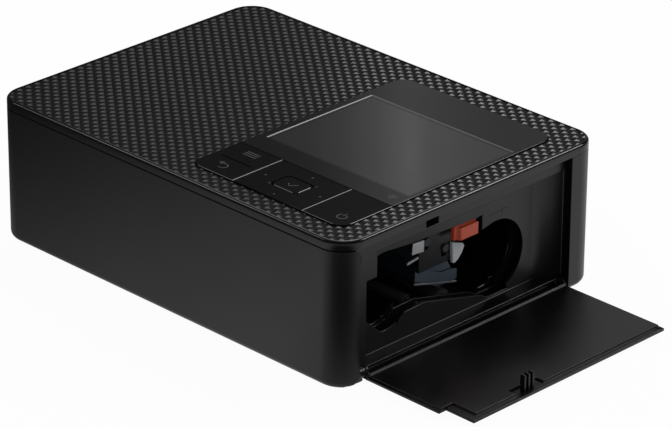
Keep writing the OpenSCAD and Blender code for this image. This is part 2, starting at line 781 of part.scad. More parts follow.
module panel_inlay() {
    color("#17181a")
        difference() {
            pad([panel_left, strip_y], [panel_right, panel_rear], 0, seat_z, panel_z, panel_rear_r);
            box([display_x, display_y, seat_z - 1], [display_x + display_w, display_y + display_d, panel_z + 1]);
            box(
                [display_x - glass_rim - 0.1, display_y - glass_rim - 0.1, seat_z - 1],
                [display_x + display_w + glass_rim + 0.1, display_y + display_d + glass_rim + 0.1, glass_z]
            );
        }
}

module display_window() {
    color("#3c3e40")
        box(
            [display_x - glass_rim, display_y - glass_rim, seat_z],
            [display_x + display_w + glass_rim, display_y + display_d + glass_rim, glass_z]
        );
}

module display_module() {
    color("#55585c") {
        box(
            [display_x - 0.8, display_y - 0.8, plate_z - 3.4],
            [display_x + display_w + 0.8, display_y + display_d + 0.8, plate_z]
        );
        box(
            [display_x + display_in + 0.2, display_y + display_in + 0.2, plate_z - 0.1],
            [display_x + display_w - display_in - 0.2, display_y + display_d - display_in - 0.2, seat_z - 0.1]
        );
    }
}

module key_board() {
    color("#24593a") {
        difference() {
            box([panel_left + 2, panel_front + 2.2, board_z], [panel_right - 2, display_y - 2, board_z + board_t]);
            for (x = [panel_left + 3.4, panel_right - 3.4])
                z_rod(x, display_y - 4, 0.7, board_z - 1, board_z + board_t + 1);
        }
        for (p = [[rocker_x, menu_y], [rocker_x, back_y], [pad_x, key_mid_y], [power_x, key_mid_y],
                [pad_x - 13, key_mid_y], [pad_x + 13, key_mid_y], [pad_x, key_mid_y - 9], [pad_x, key_mid_y + 9]])
            box([p[0] - 2, p[1] - 2, board_z + board_t - 0.1], [p[0] + 2, p[1] + 2, switch_z]);
        for (x = [rocker_x - 8, rocker_x + 8])
            box([x - 0.8, key_mid_y - 0.4, board_z + board_t - 0.1], [x + 0.8, key_mid_y + 0.4, key_lo - 0.05]);
        box([panel_left + 2.8, cable_y - 6, board_z - 1.3], [panel_left + 6.8, cable_y + 6, board_z + 0.1]);
    }
}

// Cap and flange of the keys between two places along X, at the height of the panel
module key_cell(x0, x1) {
    reach = key_gap + key_flange;
    intersection() {
        union() {
            pad([panel_left, panel_front], [panel_right, strip_y - key_gap], panel_r, key_lo, panel_z, 0);
            pad(
                [panel_left - reach, panel_front - reach], [panel_right + reach, strip_y + key_flange],
                panel_r, key_lo, flange_z, 0
            );
        }
        box([x0, panel_front - 5, 0], [x1, strip_y + 5, body_h + 5]);
    }
}

// Rocker with the menu key behind and the back key in front, parted by a short groove
module rocker_key() {
    color("#141416")
        difference() {
            key_cell(panel_left - 5, panel_left + rocker_w - key_gap / 2);
            box([rocker_x - 7.5, key_mid_y - 0.3, panel_z - 0.8], [rocker_x + 7.5, key_mid_y + 0.3, panel_z + 1]);
        }
}

module four_way_key() {
    color("#141416")
        difference() {
            key_cell(pad_lo, pad_hi);
            pad(
                [pad_x - ok_w / 2 - key_gap, key_mid_y - ok_d / 2 - key_gap],
                [pad_x + ok_w / 2 + key_gap, key_mid_y + ok_d / 2 + key_gap],
                1.8 + key_gap, 0, panel_z + 1
            );
        }
}

module confirm_key() {
    color("#1c1c1f")
        pad(
            [pad_x - ok_w / 2, key_mid_y - ok_d / 2], [pad_x + ok_w / 2, key_mid_y + ok_d / 2],
            1.8, key_lo, panel_z
        );
}

module power_key() {
    color("#141416")
        key_cell(pad_hi + key_gap, panel_right + 5);
}

// Orange lever behind the pocket plate: hub on its pin, arm to the rear, tab down into the opening
module eject_lever() {
    x0 = lever_back - lever_t;
    tab_y = take_up[0] - 18.4;
    tab_lo = take_up[1] + 12.3;
    tab_hi = tab_lo + 4.8;
    arm_lo = tab_hi + 1.2;
    color("#e2482c")
        difference() {
            union() {
                x_rod([lever_y, lever_z], 3, x0, lever_back);
                x_slab(x0, lever_back)
                    polygon([
                        [lever_y, lever_z + 3], [lever_y, lever_z - 3], [tab_y - 2, arm_lo],
                        [tab_y - 2, tab_lo], [tab_y + 9.1, tab_lo], [tab_y + 9.1, arm_lo + 3.6]
                    ]);
                translate([0, 0, tab_lo])
                    linear_extrude(tab_hi - tab_lo)
                        polygon([
                            [x0, tab_y - 2], [bezel_x - 0.2, tab_y], [bezel_x - 0.2, tab_y + 9.1], [x0, tab_y + 9.1]
                        ]);
            }
            x_rod([lever_y, lever_z], lever_pin_r + run_gap, x0 - 1, lever_back + 1);
        }
}

module lever_pin() {
    x0 = lever_back - lever_t - 0.3;
    color("#9a9da2") {
        x_rod([lever_y, lever_z], lever_pin_r, x0 - 0.1, bezel_x - 0.4);
        x_rod([lever_y, lever_z], 2.2, x0 - 0.8, x0);
    }
}

// Holes for the shafts that run across both plates
module plate_bores(x0, x1) {
    x_rod(platen, shaft_r + run_gap, x0, x1);
    x_rod(grip, shaft_r + run_gap, x0, x1);
    x_rod(pinch, pinch_shaft_r + run_gap, x0, x1);
    x_rod(pickup, shaft_r + run_gap, x0, x1);
    x_rod(cam, cam_shaft_r + run_gap, x0, x1);
    for (g = [guide_hi, guide_lo])
        guide_slot(g, x0, x1);
}

// Upright slot that guides a cross bar of the head carriage
module guide_slot(g, x0, x1) {
    r = shaft_r + run_gap;
    x_rod(g, r, x0, x1);
    x_rod(g - [0, head_travel + 0.2], r, x0, x1);
    box([x0, g[0] - r, g[1] - head_travel - 0.2], [x1, g[0] + r, g[1]]);
}

chassis_screw_xy = [
    [left_plate - 4, plate_front + 26], [left_plate - 4, plate_rear - 8],
    [right_plate - 3.4, plate_front + 4], [right_plate - 3.4, plate_rear + 4]
];

module left_chassis() {
    color("#a9adb2")
        difference() {
            union() {
                box([left_plate, plate_front, floor_z], [left_plate + plate_t, plate_rear, plate_top]);
                for (y = [chassis_screw_xy[0][1], chassis_screw_xy[1][1]])
                    box([left_plate - 8, y - 4, floor_z], [left_plate + 0.1, y + 4, floor_z + plate_t]);
            }
            plate_bores(left_plate - 1, left_plate + plate_t + 1);
            x_rod(supply, 2 + run_gap, left_plate - 1, left_plate + plate_t + 1);
            x_rod(take_up, 2 + run_gap, left_plate - 1, left_plate + plate_t + 1);
            for (p = chassis_screw_xy)
                z_rod(p[0], p[1], 1.4, floor_z - 1, floor_z + plate_t + 1);
        }
}

// Plate just inside the opening: a tongue between the lobes carries the head's guides and cam shaft
module right_chassis() {
    tongue = [-13, 3.5];
    tongue_lo = floor_z + 22;
    color("#7d8692")
        difference() {
            union() {
                difference() {
                    box([right_plate, plate_front, floor_z], [right_plate + plate_t, plate_rear + 8, plate_top]);
                    x_slab(right_plate - 1, right_plate + plate_t + 1)
                        cassette_outline(0.8);
                }
                box([right_plate, tongue[0], tongue_lo], [right_plate + plate_t, tongue[1], plate_top - 1]);
                for (y = [chassis_screw_xy[2][1], chassis_screw_xy[3][1]])
                    box([right_plate - 6, y - 4, floor_z], [right_plate + 0.1, y + 4, floor_z + plate_t]);
            }
            plate_bores(right_plate - 1, right_plate + plate_t + 1);
            for (p = chassis_screw_xy)
                z_rod(p[0], p[1], 1.4, floor_z - 1, floor_z + plate_t + 1);
        }
}

// Two bars riveted between the plates above the cassette bay
module cross_bars() {
    x0 = left_plate + plate_t;
    color("#a9adb2") {
        box([x0, plate_front + 2, plate_top - 3], [right_plate, plate_front + 8, plate_top - 1.5]);
        box([x0, plate_rear - 8, plate_top - 3], [right_plate, plate_rear - 2, plate_top - 1.5]);
    }
}

motor_y0 = -44;
motor_y1 = 40;

module motor_plate() {
    color("#a9adb2")
        difference() {
            union() {
                box([motor_plate_x, motor_y0, floor_z], [motor_plate_x + plate_t, motor_y1, plate_top]);
                for (p = [[motor_y0 + 3, plate_top - 4], [motor_y1 - 9, plate_top - 4], [motor_y1 - 9, floor_z + 5]])
                    x_rod(p, 2.2, motor_plate_x + plate_t - 0.1, left_plate);
            }
            for (c = [feed_pinion_c, ribbon_pinion_c, head_pinion_c])
                x_rod(c, 3.1, motor_plate_x - 1, motor_plate_x + plate_t + 1);
        }
}

// Cradles under both lobes of the cassette, with guide ribs, on legs outside the paper's way
module cassette_guide() {
    x0 = left_plate + plate_t;
    x1 = right_plate;
    color("#26262a") {
        x_slab(x0, x1) {
            cradle(supply, supply_r + 0.3, 192, 318);
            cradle(take_up, take_up_r + 0.3, -98, 62);
            for (a = [215, 240, 265, 290])
                translate(supply + (supply_r + 0.2) * [cos(a), sin(a)])
                    rotate(a)
                        square([0.9, 1.2], center = true);
        }
        for (x = [x0, x1 - 1.5]) {
            box([x, supply[0] - 9, floor_z], [x + 1.5, supply[0] - 3, supply[1] - supply_r - 0.2]);
            box([x, take_up[0] + 4, floor_z], [x + 1.5, take_up[0] + 10, take_up[1] - take_up_r + 2]);
        }
    }
}

// Arc of wall about c, in Y and Z, from angle a0 to angle a1
module cradle(c, r, a0, a1) {
    polygon(concat(
        arc(c, r, a0, a1, 20),
        arc(c, r + 1.1, a1, a0, 20)
    ));
}

// Lower guide: ramp behind the tray, bridge between the rollers, bed to the rear slot
module paper_guide() {
    x0 = port_x + 4;
    x1 = port_x + port_w - 4;
    color("#2a2b2e") {
        x_slab(x0, x1) {
            polygon([
                [pickup[0] + 7, floor_z], [grip[0] - grip_r - 1, floor_z],
                [grip[0] - grip_r - 1, grip[1] + 2], [pickup[0] + 12, floor_z + 3]
            ]);
            polygon([
                [grip[0] + grip_r + 1, floor_z], [platen[0] - platen_r - 1, floor_z],
                [platen[0] - platen_r - 1, platen[1] + 2.6], [grip[0] + grip_r + 1, grip[1] + 2]
            ]);
            polygon([
                [platen[0] + platen_r + 1, floor_z], [rear_y - wall - 0.6, floor_z],
                [rear_y - wall - 0.6, floor_z + 1.2],
                [platen[0] + platen_r + 8, floor_z + 1.4], [platen[0] + platen_r + 1, platen[1] + 1]
            ]);
        }
    }
}

// Roller with its shaft: the working length lies inside the plates, the shaft runs through both
module roller(c, r, shaft, x_left, x_right, over = 1) {
    x_rod(c, r, left_plate + plate_t + x_left, right_plate - x_right);
    x_rod(c, shaft, left_plate - over, right_plate + plate_t + 1);
}

module platen_roller() {
    color("#3b3b3e")
        roller(platen, platen_r, shaft_r, 3, 3);
}

module grip_roller() {
    color("#8f949a")
        roller(grip, grip_r, shaft_r, 3, 3, left_plate - gear_x + 0.4);
}

module grip_gear() {
    color("#e8e6df")
        spur(grip, grip_n, 0, gear_x, gear_x + gear_t, shaft_r);
}

module pinch_roller() {
    color("#3b3b3e")
        roller(pinch, pinch_r, pinch_shaft_r, 4, 4);
}

module pickup_roller() {
    color("#4a4a4d") {
        x_rod(pickup, shaft_r, gear_x - 0.4, right_plate + plate_t + 1);
        for (x = [port_x + 24, port_x + 72])
            x_rod(pickup, pickup_r, x, x + 12);
    }
}

module pickup_gear() {
    color("#e8e6df")
        spur(pickup, pickup_n, pickup_phase, gear_x, gear_x + gear_t, shaft_r);
}

// Motor can with its front boss in the motor plate
module motor(c, r, depth) {
    difference() {
        union() {
            x_rod(c, r, motor_plate_x - depth, motor_plate_x);
            x_rod(c, 3, motor_plate_x - 0.1, motor_plate_x + plate_t);
        }
        x_rod(c, 1 + run_gap, motor_plate_x - depth + 2, motor_plate_x + plate_t + 1);
    }
}

// Pinion on its motor's shaft
module pinion(c, phase, depth) {
    spur(c, pinion_n, phase, gear_x, gear_x + gear_t, 0);
    x_rod(c, 1, motor_plate_x - depth + 2.3, gear_x + 0.1);
}

feed_depth = 16;
ribbon_depth = 16;
head_depth = 14;

module feed_motor() {
    color("#6f7377")
        motor(feed_pinion_c, 10, feed_depth);
}

module feed_pinion() {
    color("#c9a552")
        pinion(feed_pinion_c, feed_pinion_phase, feed_depth);
}

module feed_idler() {
    color("#e8e6df")
        spur(feed_idler_c, idler_n, idler_phase, gear_x, gear_x + gear_t, 1.5 + run_gap);
}

module pickup_idler() {
    color("#e8e6df")
        spur(pickup_idler_c, pickup_idler_n, pickup_idler_phase, gear_x, gear_x + gear_t, 1.5 + run_gap);
}

// Fixed pins on the left plate that carry the idlers
module gear_pins() {
    color("#9a9da2")
        for (c = [feed_idler_c, pickup_idler_c]) {
            x_rod(c, 1.5, gear_x - 0.6, left_plate);
            x_rod(c, 2.4, gear_x + gear_t + 0.3, left_plate);
        }
}

// Hub with three drive fins that enters the end of a ribbon spool
module spindle(c, shaft_end) {
    x_rod(c, 2, shaft_end, left_plate + plate_t + 1);
    x_rod(c, 6.5, left_plate + plate_t + 0.3, left_plate + plate_t + 1.3);
    x_rod(c, 3.6, left_plate + plate_t + 1.2, left_plate + plate_t + 8);
    for (a = [90, 210, 330])
        translate([left_plate + plate_t + 1.2, c[0], c[1]])
            rotate([a, 0, 0])
                translate([0, -0.5, 3])
                    cube([6, 1, 1.8]);
}

module take_up_spindle() {
    color("#dcdad2")
        spindle(take_up, gear_x - 0.4);
}

module take_up_gear() {
    color("#e8e6df")
        spur(take_up, take_up_n, 0, gear_x, gear_x + gear_t, 2);
}

module supply_spindle() {
    color("#dcdad2")
        difference() {
            spindle(supply, left_plate - 1.6);
            x_rod(supply, 0.8, left_plate - 2, left_plate + 4);
        }
}

module ribbon_motor() {
    color("#6f7377")
        motor(ribbon_pinion_c, 10, ribbon_depth);
}

module ribbon_pinion() {
    color("#c9a552")
        pinion(ribbon_pinion_c, ribbon_pinion_phase, ribbon_depth);
}

// Carriage of the thermal head with its two guide bars, raised at rest
module head_carriage() {
    x0 = left_plate + plate_t + 1.2;
    x1 = right_plate - 1.2;
    color("#3a424d") {
        x_slab(x0, x1)
            polygon([
                [-12.2, carriage_lo + 2.6], [-9.6, carriage_lo], [3, carriage_lo],
                [3, carriage_top - 2], [1, carriage_top], [-12.2, carriage_top]
            ]);
        for (g = [guide_hi, guide_lo])
            x_rod(g, shaft_r, left_plate - 0.8, right_plate + plate_t + 0.8);
    }
}

module heat_sink() {
    x0 = left_plate + plate_t + 1.2;
    x1 = right_plate - 1.2;
    color("#66788c")
        x_slab(x0, x1)
            polygon([
                [-11.8, carriage_lo + 2.2], [-11.8, carriage_lo - 5.4], [-0.5, carriage_lo - 11.2],
                [7, carriage_lo - 11.2], [8.4, carriage_lo - 9.4], [3, carriage_lo], [-9.6, carriage_lo]
            ]);
}

module head_strip() {
    x0 = left_plate + plate_t + 4;
    x1 = right_plate - 4;
    color("#d9d2c0")
        box([x0, platen[0] - 2.2, carriage_lo - 12.6], [x1, platen[0] + 2.2, carriage_lo - 11.2]);
}

// Shaft with an eccentric disc at each end that presses the carriage down
module cam_shaft() {
    color("#8f949a") {
        x_rod(cam, cam_shaft_r, gear_x - 0.4, right_plate + plate_t + 1);
        for (x = [left_plate + plate_t + 4, right_plate - 8])
            x_rod(cam + [0, cam_throw], cam_r, x, x + 4);
    }
}

module cam_gear() {
    color("#e8e6df")
        spur(cam, cam_n, 0, gear_x, gear_x + gear_t, cam_shaft_r);
}

module head_motor() {
    color("#6f7377")
        motor(head_pinion_c, 7, head_depth);
}

module head_pinion() {
    color("#c9a552")
        pinion(head_pinion_c, head_pinion_phase, head_depth);
}

main_x = left_x + 3.9;
main_t = 1.6;
main_lo = floor_z + 3;
main_hi = floor_z + 46;
board_y0 = -24;
board_y1 = 44;

module main_board() {
    color("#24593a")
        box([main_x, board_y0, main_lo], [main_x + main_t, board_y1, main_hi]);
}

// Chips, capacitors and the cable socket on the main board
module board_parts() {
    x0 = main_x + main_t;
    color("#33363a") {
        box([x0, -14, main_lo + 12], [x0 + 1.4, 2, main_lo + 28]);
        box([x0, 8, main_lo + 8], [x0 + 1.2, 20, main_lo + 18]);
        box([x0, 24, main_lo + 24], [x0 + 1.8, 36, main_lo + 34]);
        for (y = [10, 19, 28])
            x_rod([y, main_lo + 37], 3.2, x0, x0 + 6);
        box([x0, board_y0 + 1, main_hi - 6], [x0 + 2.4, board_y0 + 15, main_hi - 2]);
    }
}

rear_board_x0 = left_x + 10.5;
rear_board_x1 = left_x + 48;
rear_board_y0 = rear_y - 21;
rear_board_z = floor_z + 6.5;
inlet_x = left_x + 26;
inlet_r = 3;
inlet_z = rear_board_z + 1.6 + 5.2;
data_x = left_x + 41;
data_z = rear_board_z + 1.6 + 1.75;

module rear_board() {
    color("#24593a")
        difference() {
            box([rear_board_x0, rear_board_y0, rear_board_z], [rear_board_x1, rear_y - wall - 0.6, rear_board_z + 1.6]);
            for (p = post_xy)
                z_rod(p[0], p[1], post_r + 0.5, floor_z, band_z);
        }
}

// Barrel inlet for the power lead, with its centre pin
module power_inlet() {
    color("#232325") {
        difference() {
            box([inlet_x - 5.2, rear_y - 15, rear_board_z + 1.6], [inlet_x + 5.2, rear_y - wall, inlet_z + 5]);
            y_rod(inlet_x, inlet_z, inlet_r, rear_y - 12.5, rear_y);
        }
        y_rod(inlet_x, inlet_z, 0.8, rear_y - 13, rear_y - wall - 0.8);
    }
}

// Flat data socket with its tongue
module data_socket() {
    color("#b9bcc0")
        difference() {
            box([data_x - 4.6, rear_y - 10, rear_board_z + 1.6], [data_x + 4.6, rear_y - wall + 1.2, data_z + 1.75]);
            difference() {
                box([data_x - 4.1, rear_y - 8.5, data_z - 1.25], [data_x + 4.1, rear_y, data_z + 1.25]);
                box([data_x - 3.3, rear_y - 9, data_z - 0.35], [data_x + 3.3, rear_y - wall - 0.6, data_z + 0.35]);
            }
        }
}

// Shell behind the card slot
module card_socket() {
    y1 = frame_back + 27;
    color("#b9bcc0")
        difference() {
            box([card_x - 1.2, frame_back + 1, card_z - 1.2], [card_x + card_w + 1.2, y1, card_z + card_h + 1.2]);
            box([card_x - 0.2, frame_back, card_z - 0.1], [card_x + card_w + 0.2, y1 - 1.5, card_z + card_h + 0.1]);
        }
}

module fan_frame() {
    h = fan_w / 2;
    color("#262629") {
        difference() {
            box([fan_x - h, fan_y, fan_z - h], [fan_x + h, fan_y + fan_t, fan_z + h]);
            y_rod(fan_x, fan_z, h - 1, fan_y - 1, fan_y + fan_t + 1);
        }
        for (a = [45, 165, 285])
            translate([fan_x, fan_y, fan_z])
                rotate([0, a, 0])
                    box([0, 0, -0.8], [h - 0.4, 1.2, 0.8]);
        y_rod(fan_x, fan_z, 4, fan_y, fan_y + 1.2);
        y_rod(fan_x, fan_z, 1, fan_y, fan_y + fan_t - 1.2);
        for (x = [fan_x - h, fan_x + h - 3], z = [fan_z - h, fan_z + h - 3])
            box([x, fan_y + fan_t - 0.1, z], [x + 3, rear_y - wall, z + 3]);
    }
}

module fan_rotor() {
    blade_r = fan_w / 2 - 1.6;
    y0 = fan_y + 1.6;
    y1 = fan_y + fan_t - 0.6;
    color("#303034")
        difference() {
            union() {
                y_rod(fan_x, fan_z, 5.5, y0, y1);
                for (i = [0:6])
                    translate([fan_x, (y0 + y1) / 2, fan_z])
                        rotate([0, i * 360 / 7, 0])
                            translate([5, 0, 0])
                                rotate([38, 0, 0])
                                    box([0, -0.5, -3.2], [blade_r - 5.6, 0.5, 3.2]);
            }
            y_rod(fan_x, fan_z, 1 + run_gap, y0 - 1, fan_y + fan_t - 0.9);
        }
}

// Flat cable from below the key board to the main board
module flat_cable() {
    z = board_z - 1.6;
    x0 = main_x + main_t + 2.4;
    color("#d8d8d2") {
        box([x0, cable_y - 5.5, z], [panel_left + 6.4, cable_y + 5.5, z + 0.3]);
        box([x0, cable_y - 5.5, main_hi - 5], [x0 + 0.3, cable_y + 5.5, z + 0.3]);
        box([x0, cable_y - 5.5, main_hi - 5], [x0 + 0.3, board_y0 + 8, main_hi - 3]);
    }
}

// Cover screws up the posts and pan-head screws through the chassis feet
module case_screws() {
    color("#8f949a") {
        for (p = post_xy) {
            z_rod(p[0], p[1], 2.6, post_step - 1.8, post_step);
            z_rod(p[0], p[1], 1.2, post_step - 0.1, post_step + 11);
        }
        for (p = chassis_screw_xy) {
            z_rod(p[0], p[1], 2.2, floor_z + plate_t, floor_z + plate_t + 1.3);
            z_rod(p[0], p[1], 1.2, under_z + 0.6, floor_z + plate_t + 0.1);
        }
    }
}

base_case();
top_cover();
front_frame();
side_frame();
rubber_feet();
front_cover();
front_hinge_pins();
ink_door();
door_hinge_pins();
door_latch();
panel_inlay();
display_window();
display_module();
key_board();
rocker_key();
four_way_key();
confirm_key();
power_key();
eject_lever();
lever_pin();
left_chassis();
right_chassis();
cross_bars();
motor_plate();
cassette_guide();
paper_guide();
platen_roller();
grip_roller();
grip_gear();
pinch_roller();
pickup_roller();
pickup_gear();
feed_motor();
feed_pinion();
feed_idler();
pickup_idler();
gear_pins();
take_up_spindle();
take_up_gear();
supply_spindle();
ribbon_motor();
ribbon_pinion();
head_carriage();
heat_sink();
head_strip();
cam_shaft();
cam_gear();
head_motor();
head_pinion();
main_board();
board_parts();
rear_board();
card_socket();
data_socket();
power_inlet();
fan_frame();
fan_rotor();
flat_cable();
case_screws();
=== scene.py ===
import math

import bmesh
import bpy
from mathutils import Matrix, Vector
from mathutils.bvhtree import BVHTree


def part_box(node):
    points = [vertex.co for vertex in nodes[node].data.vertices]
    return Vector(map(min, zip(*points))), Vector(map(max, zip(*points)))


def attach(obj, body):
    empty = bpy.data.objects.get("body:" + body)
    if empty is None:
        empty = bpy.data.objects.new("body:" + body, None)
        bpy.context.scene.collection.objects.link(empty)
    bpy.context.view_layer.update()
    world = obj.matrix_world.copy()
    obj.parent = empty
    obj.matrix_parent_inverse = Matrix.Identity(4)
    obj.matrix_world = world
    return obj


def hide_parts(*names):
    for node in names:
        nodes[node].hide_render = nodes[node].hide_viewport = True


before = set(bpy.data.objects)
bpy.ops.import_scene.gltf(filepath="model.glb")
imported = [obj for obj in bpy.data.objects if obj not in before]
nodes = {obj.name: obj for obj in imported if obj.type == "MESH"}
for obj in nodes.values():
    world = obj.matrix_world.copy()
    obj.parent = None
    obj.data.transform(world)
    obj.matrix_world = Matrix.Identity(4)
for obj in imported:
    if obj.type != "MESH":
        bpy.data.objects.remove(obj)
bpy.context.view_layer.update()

scene = bpy.context.scene


# Camera
# The photographer stands at the front right corner with a long lens and looks down at the printer.
# The numbers were fitted to the corners of the case, so they belong together.
eye = Vector((0.92220, -0.91023, 0.63164))
aim = Vector((-0.63639532, 0.64224221, -0.42723054)).normalized()
tilt = math.radians(0.433)
level_right = aim.cross(Vector((0, 0, 1))).normalized()
level_up = level_right.cross(aim)
right = level_right * math.cos(tilt) + level_up * math.sin(tilt)
up = level_up * math.cos(tilt) - level_right * math.sin(tilt)
lens = bpy.data.cameras.new("camera")
lens.sensor_width = 36
lens.sensor_fit = "HORIZONTAL"
lens.lens = 206.52
lens.shift_x = 0.00428
lens.shift_y = -0.0020
lens.clip_start = 0.05
camera = bpy.data.objects.new("camera", lens)
camera.matrix_world = Matrix.Translation(eye) @ Matrix((right, up, -aim)).transposed().to_4x4()
scene.collection.objects.link(camera)
scene.camera = camera
scene.view_settings.view_transform = "Standard"


# Studio
# A white paper floor under a large overhead softbox, with three smaller softboxes round the printer.
# The paper's gloss holds a painted dark patch and fade; a graded card beyond the printer shows only in
# gloss.
floor_half = 4
floor_drop = 0.0001
camera_share = 0.96
# Painted reflection: where the paper's gloss is painted dark, and how it fades darker to the left.
gloss_dark_patch_centre = Vector((0.17, -0.15, 0))
gloss_dark_patch_edge = {"From Min": 0.06, "From Max": 0.15, "To Min": 0.02, "To Max": 1}
floor_fade = {"From Min": -0.22, "From Max": 0.08, "To Min": 0.04, "To Max": 0.68}
graded_card_half = 0.6
graded_card_low, graded_card_high = -0.35, 0.25
graded_card_place = Vector((-0.64, 0.64, 0.44))
graded_card_facing = Vector((0.64, -0.64, -0.43))
graded_part = {"From Min": -0.03, "From Max": 0.12}
left_tone, right_tone = 0.08, 0.24
tones_between = ((0.2, 0.1), (0.333, 0.15), (0.48, 0.24), (0.567, 0.33), (0.64, 0.43), (0.73, 0.31))
room_grey = (0.55, 0.55, 0.55, 1)
room_in_gloss = {"From Min": 0.25, "From Max": 0.5, "To Min": 0.05, "To Max": 0.05}


def add_node(tree, kind, values=(), **settings):
    """A new node of a tree, with its own settings and with values on its inputs."""
    made = tree.nodes.new(kind)
    for name, value in settings.items():
        setattr(made, name, value)
    for socket, value in dict(values).items():
        made.inputs[socket].default_value = value
    return made


def wire(tree, *links):
    for a, b in links:
        tree.links.new(a, b)


def studio_material(name):
    """A material with an empty tree that lights the scene only by being seen."""
    material = bpy.data.materials.new(name)
    material.use_nodes = True
    material.cycles.emission_sampling = "NONE"
    material.node_tree.nodes.clear()
    return material, material.node_tree


def paper_floor():
    """Paper that the camera sees almost white; its gloss is painted dark round a patch and to the left."""
    material, tree = studio_material("paper")
    out = add_node(tree, "ShaderNodeOutputMaterial")
    paper = add_node(tree, "ShaderNodeBsdfDiffuse", {"Color": (0.8, 0.8, 0.8, 1)})
    white = add_node(tree, "ShaderNodeEmission")
    mirrored = add_node(tree, "ShaderNodeEmission")
    path = add_node(tree, "ShaderNodeLightPath")
    share = add_node(tree, "ShaderNodeMath", {1: camera_share}, operation="MULTIPLY")
    seen = add_node(tree, "ShaderNodeMixShader")
    reflected = add_node(tree, "ShaderNodeMixShader")
    place = add_node(tree, "ShaderNodeTexCoord")
    # Painted reflection: the paper's gloss is painted dark round a patch by the front corner and fades
    # darker to the left.
    card = add_node(tree, "ShaderNodeMapping", {"Location": -gloss_dark_patch_centre})
    distance = add_node(tree, "ShaderNodeVectorMath", operation="LENGTH")
    dark = add_node(tree, "ShaderNodeMapRange", gloss_dark_patch_edge, interpolation_type="SMOOTHSTEP")
    along = add_node(tree, "ShaderNodeSeparateXYZ")
    fade = add_node(tree, "ShaderNodeMapRange", floor_fade, interpolation_type="SMOOTHSTEP")
    level = add_node(tree, "ShaderNodeMath", operation="MULTIPLY")
    wire(
        tree,
        (place.outputs["Object"], card.inputs["Vector"]),
        (card.outputs["Vector"], distance.inputs[0]),
        (distance.outputs["Value"], dark.inputs["Value"]),
        (place.outputs["Object"], along.inputs["Vector"]),
        (along.outputs["X"], fade.inputs["Value"]),
        (dark.outputs["Result"], level.inputs[0]),
        (fade.outputs["Result"], level.inputs[1]),
        (level.outputs["Value"], mirrored.inputs["Strength"]),
        (path.outputs["Is Camera Ray"], share.inputs[0]),
        (share.outputs["Value"], seen.inputs["Fac"]),
        (paper.outputs["BSDF"], seen.inputs[1]),
        (white.outputs["Emission"], seen.inputs[2]),
        (path.outputs["Is Glossy Ray"], reflected.inputs["Fac"]),
        (seen.outputs["Shader"], reflected.inputs[1]),
        (mirrored.outputs["Emission"], reflected.inputs[2]),
        (reflected.outputs["Shader"], out.inputs["Surface"]),
    )
    return material


def graded_card():
    """A card that glows in greys from its left edge to its right one."""
    material, tree = studio_material("reflector_card")
    out = add_node(tree, "ShaderNodeOutputMaterial")
    glow = add_node(tree, "ShaderNodeEmission")
    place = add_node(tree, "ShaderNodeTexCoord")
    split = add_node(tree, "ShaderNodeSeparateXYZ")
    rise = add_node(tree, "ShaderNodeMapRange", graded_part)
    tone = add_node(tree, "ShaderNodeValToRGB")
    stops = tone.color_ramp.elements
    tone.color_ramp.interpolation = "EASE"
    for at, value in tones_between:
        stops.new(at).color = (value, value, value, 1)
    for stop, value in ((stops[0], left_tone), (stops[-1], right_tone)):
        stop.color = (value, value, value, 1)
    wire(
        tree,
        (place.outputs["Object"], split.inputs["Vector"]),
        (split.outputs["X"], rise.inputs["Value"]),
        (rise.outputs["Result"], tone.inputs["Fac"]),
        (tone.outputs["Color"], glow.inputs["Color"]),
        (glow.outputs["Emission"], out.inputs["Surface"]),
    )
    return material


def studio_sheet(name, half, low, high, material, place):
    """A flat sheet that belongs to the studio, not to the printer."""
    mesh = bpy.data.meshes.new(name)
    corners = [(-half, low, 0), (half, low, 0), (half, high, 0), (-half, high, 0)]
    mesh.from_pydata(corners, [], [(0, 1, 2, 3)])
    mesh.materials.append(material)
    sheet = bpy.data.objects.new(name, mesh)
    sheet.matrix_world = place
    scene.collection.objects.link(sheet)
    return sheet


def softbox(name, place, size, watts):
    """A rectangular light that faces the middle of the printer's base."""
    light = bpy.data.lights.new(name, "AREA")
    light.shape = "RECTANGLE"
    light.size, light.size_y = size
    light.energy = watts
    lamp = bpy.data.objects.new(name, light)
    facing = (-Vector(place)).to_track_quat("-Z", "Y").to_matrix().to_4x4()
    lamp.matrix_world = Matrix.Translation(place) @ facing
    scene.collection.objects.link(lamp)


def studio_world():
    """A clear white background for the camera, a grey room for light, and a dim one for gloss.

    The dim strength is the same at every height, but it is read through a height, because the
    world is sampled as a light of its own only while something in it varies.
    """
    world = bpy.data.worlds.new("studio")
    world.use_nodes = True
    tree = world.node_tree
    tree.nodes.clear()
    out = add_node(tree, "ShaderNodeOutputWorld")
    room = add_node(tree, "ShaderNodeBackground", {"Color": room_grey})
    white = add_node(tree, "ShaderNodeBackground")
    gloss = add_node(tree, "ShaderNodeBackground")
    path = add_node(tree, "ShaderNodeLightPath")
    clear = add_node(tree, "ShaderNodeMath", operation="MAXIMUM")
    seen = add_node(tree, "ShaderNodeMixShader")
    reflected = add_node(tree, "ShaderNodeMixShader")
    place = add_node(tree, "ShaderNodeTexCoord")
    split = add_node(tree, "ShaderNodeSeparateXYZ")
    height = add_node(tree, "ShaderNodeMapRange", room_in_gloss, interpolation_type="SMOOTHSTEP")
    wire(
        tree,
        (place.outputs["Generated"], split.inputs["Vector"]),
        (split.outputs["Z"], height.inputs["Value"]),
        (height.outputs["Result"], gloss.inputs["Strength"]),
        (path.outputs["Is Camera Ray"], clear.inputs[0]),
        (path.outputs["Is Transmission Ray"], clear.inputs[1]),
        (clear.outputs["Value"], seen.inputs["Fac"]),
        (room.outputs["Background"], seen.inputs[1]),
        (white.outputs["Background"], seen.inputs[2]),
        (path.outputs["Is Glossy Ray"], reflected.inputs["Fac"]),
        (seen.outputs["Shader"], reflected.inputs[1]),
        (gloss.outputs["Background"], reflected.inputs[2]),
        (reflected.outputs["Shader"], out.inputs["Surface"]),
    )
    return world


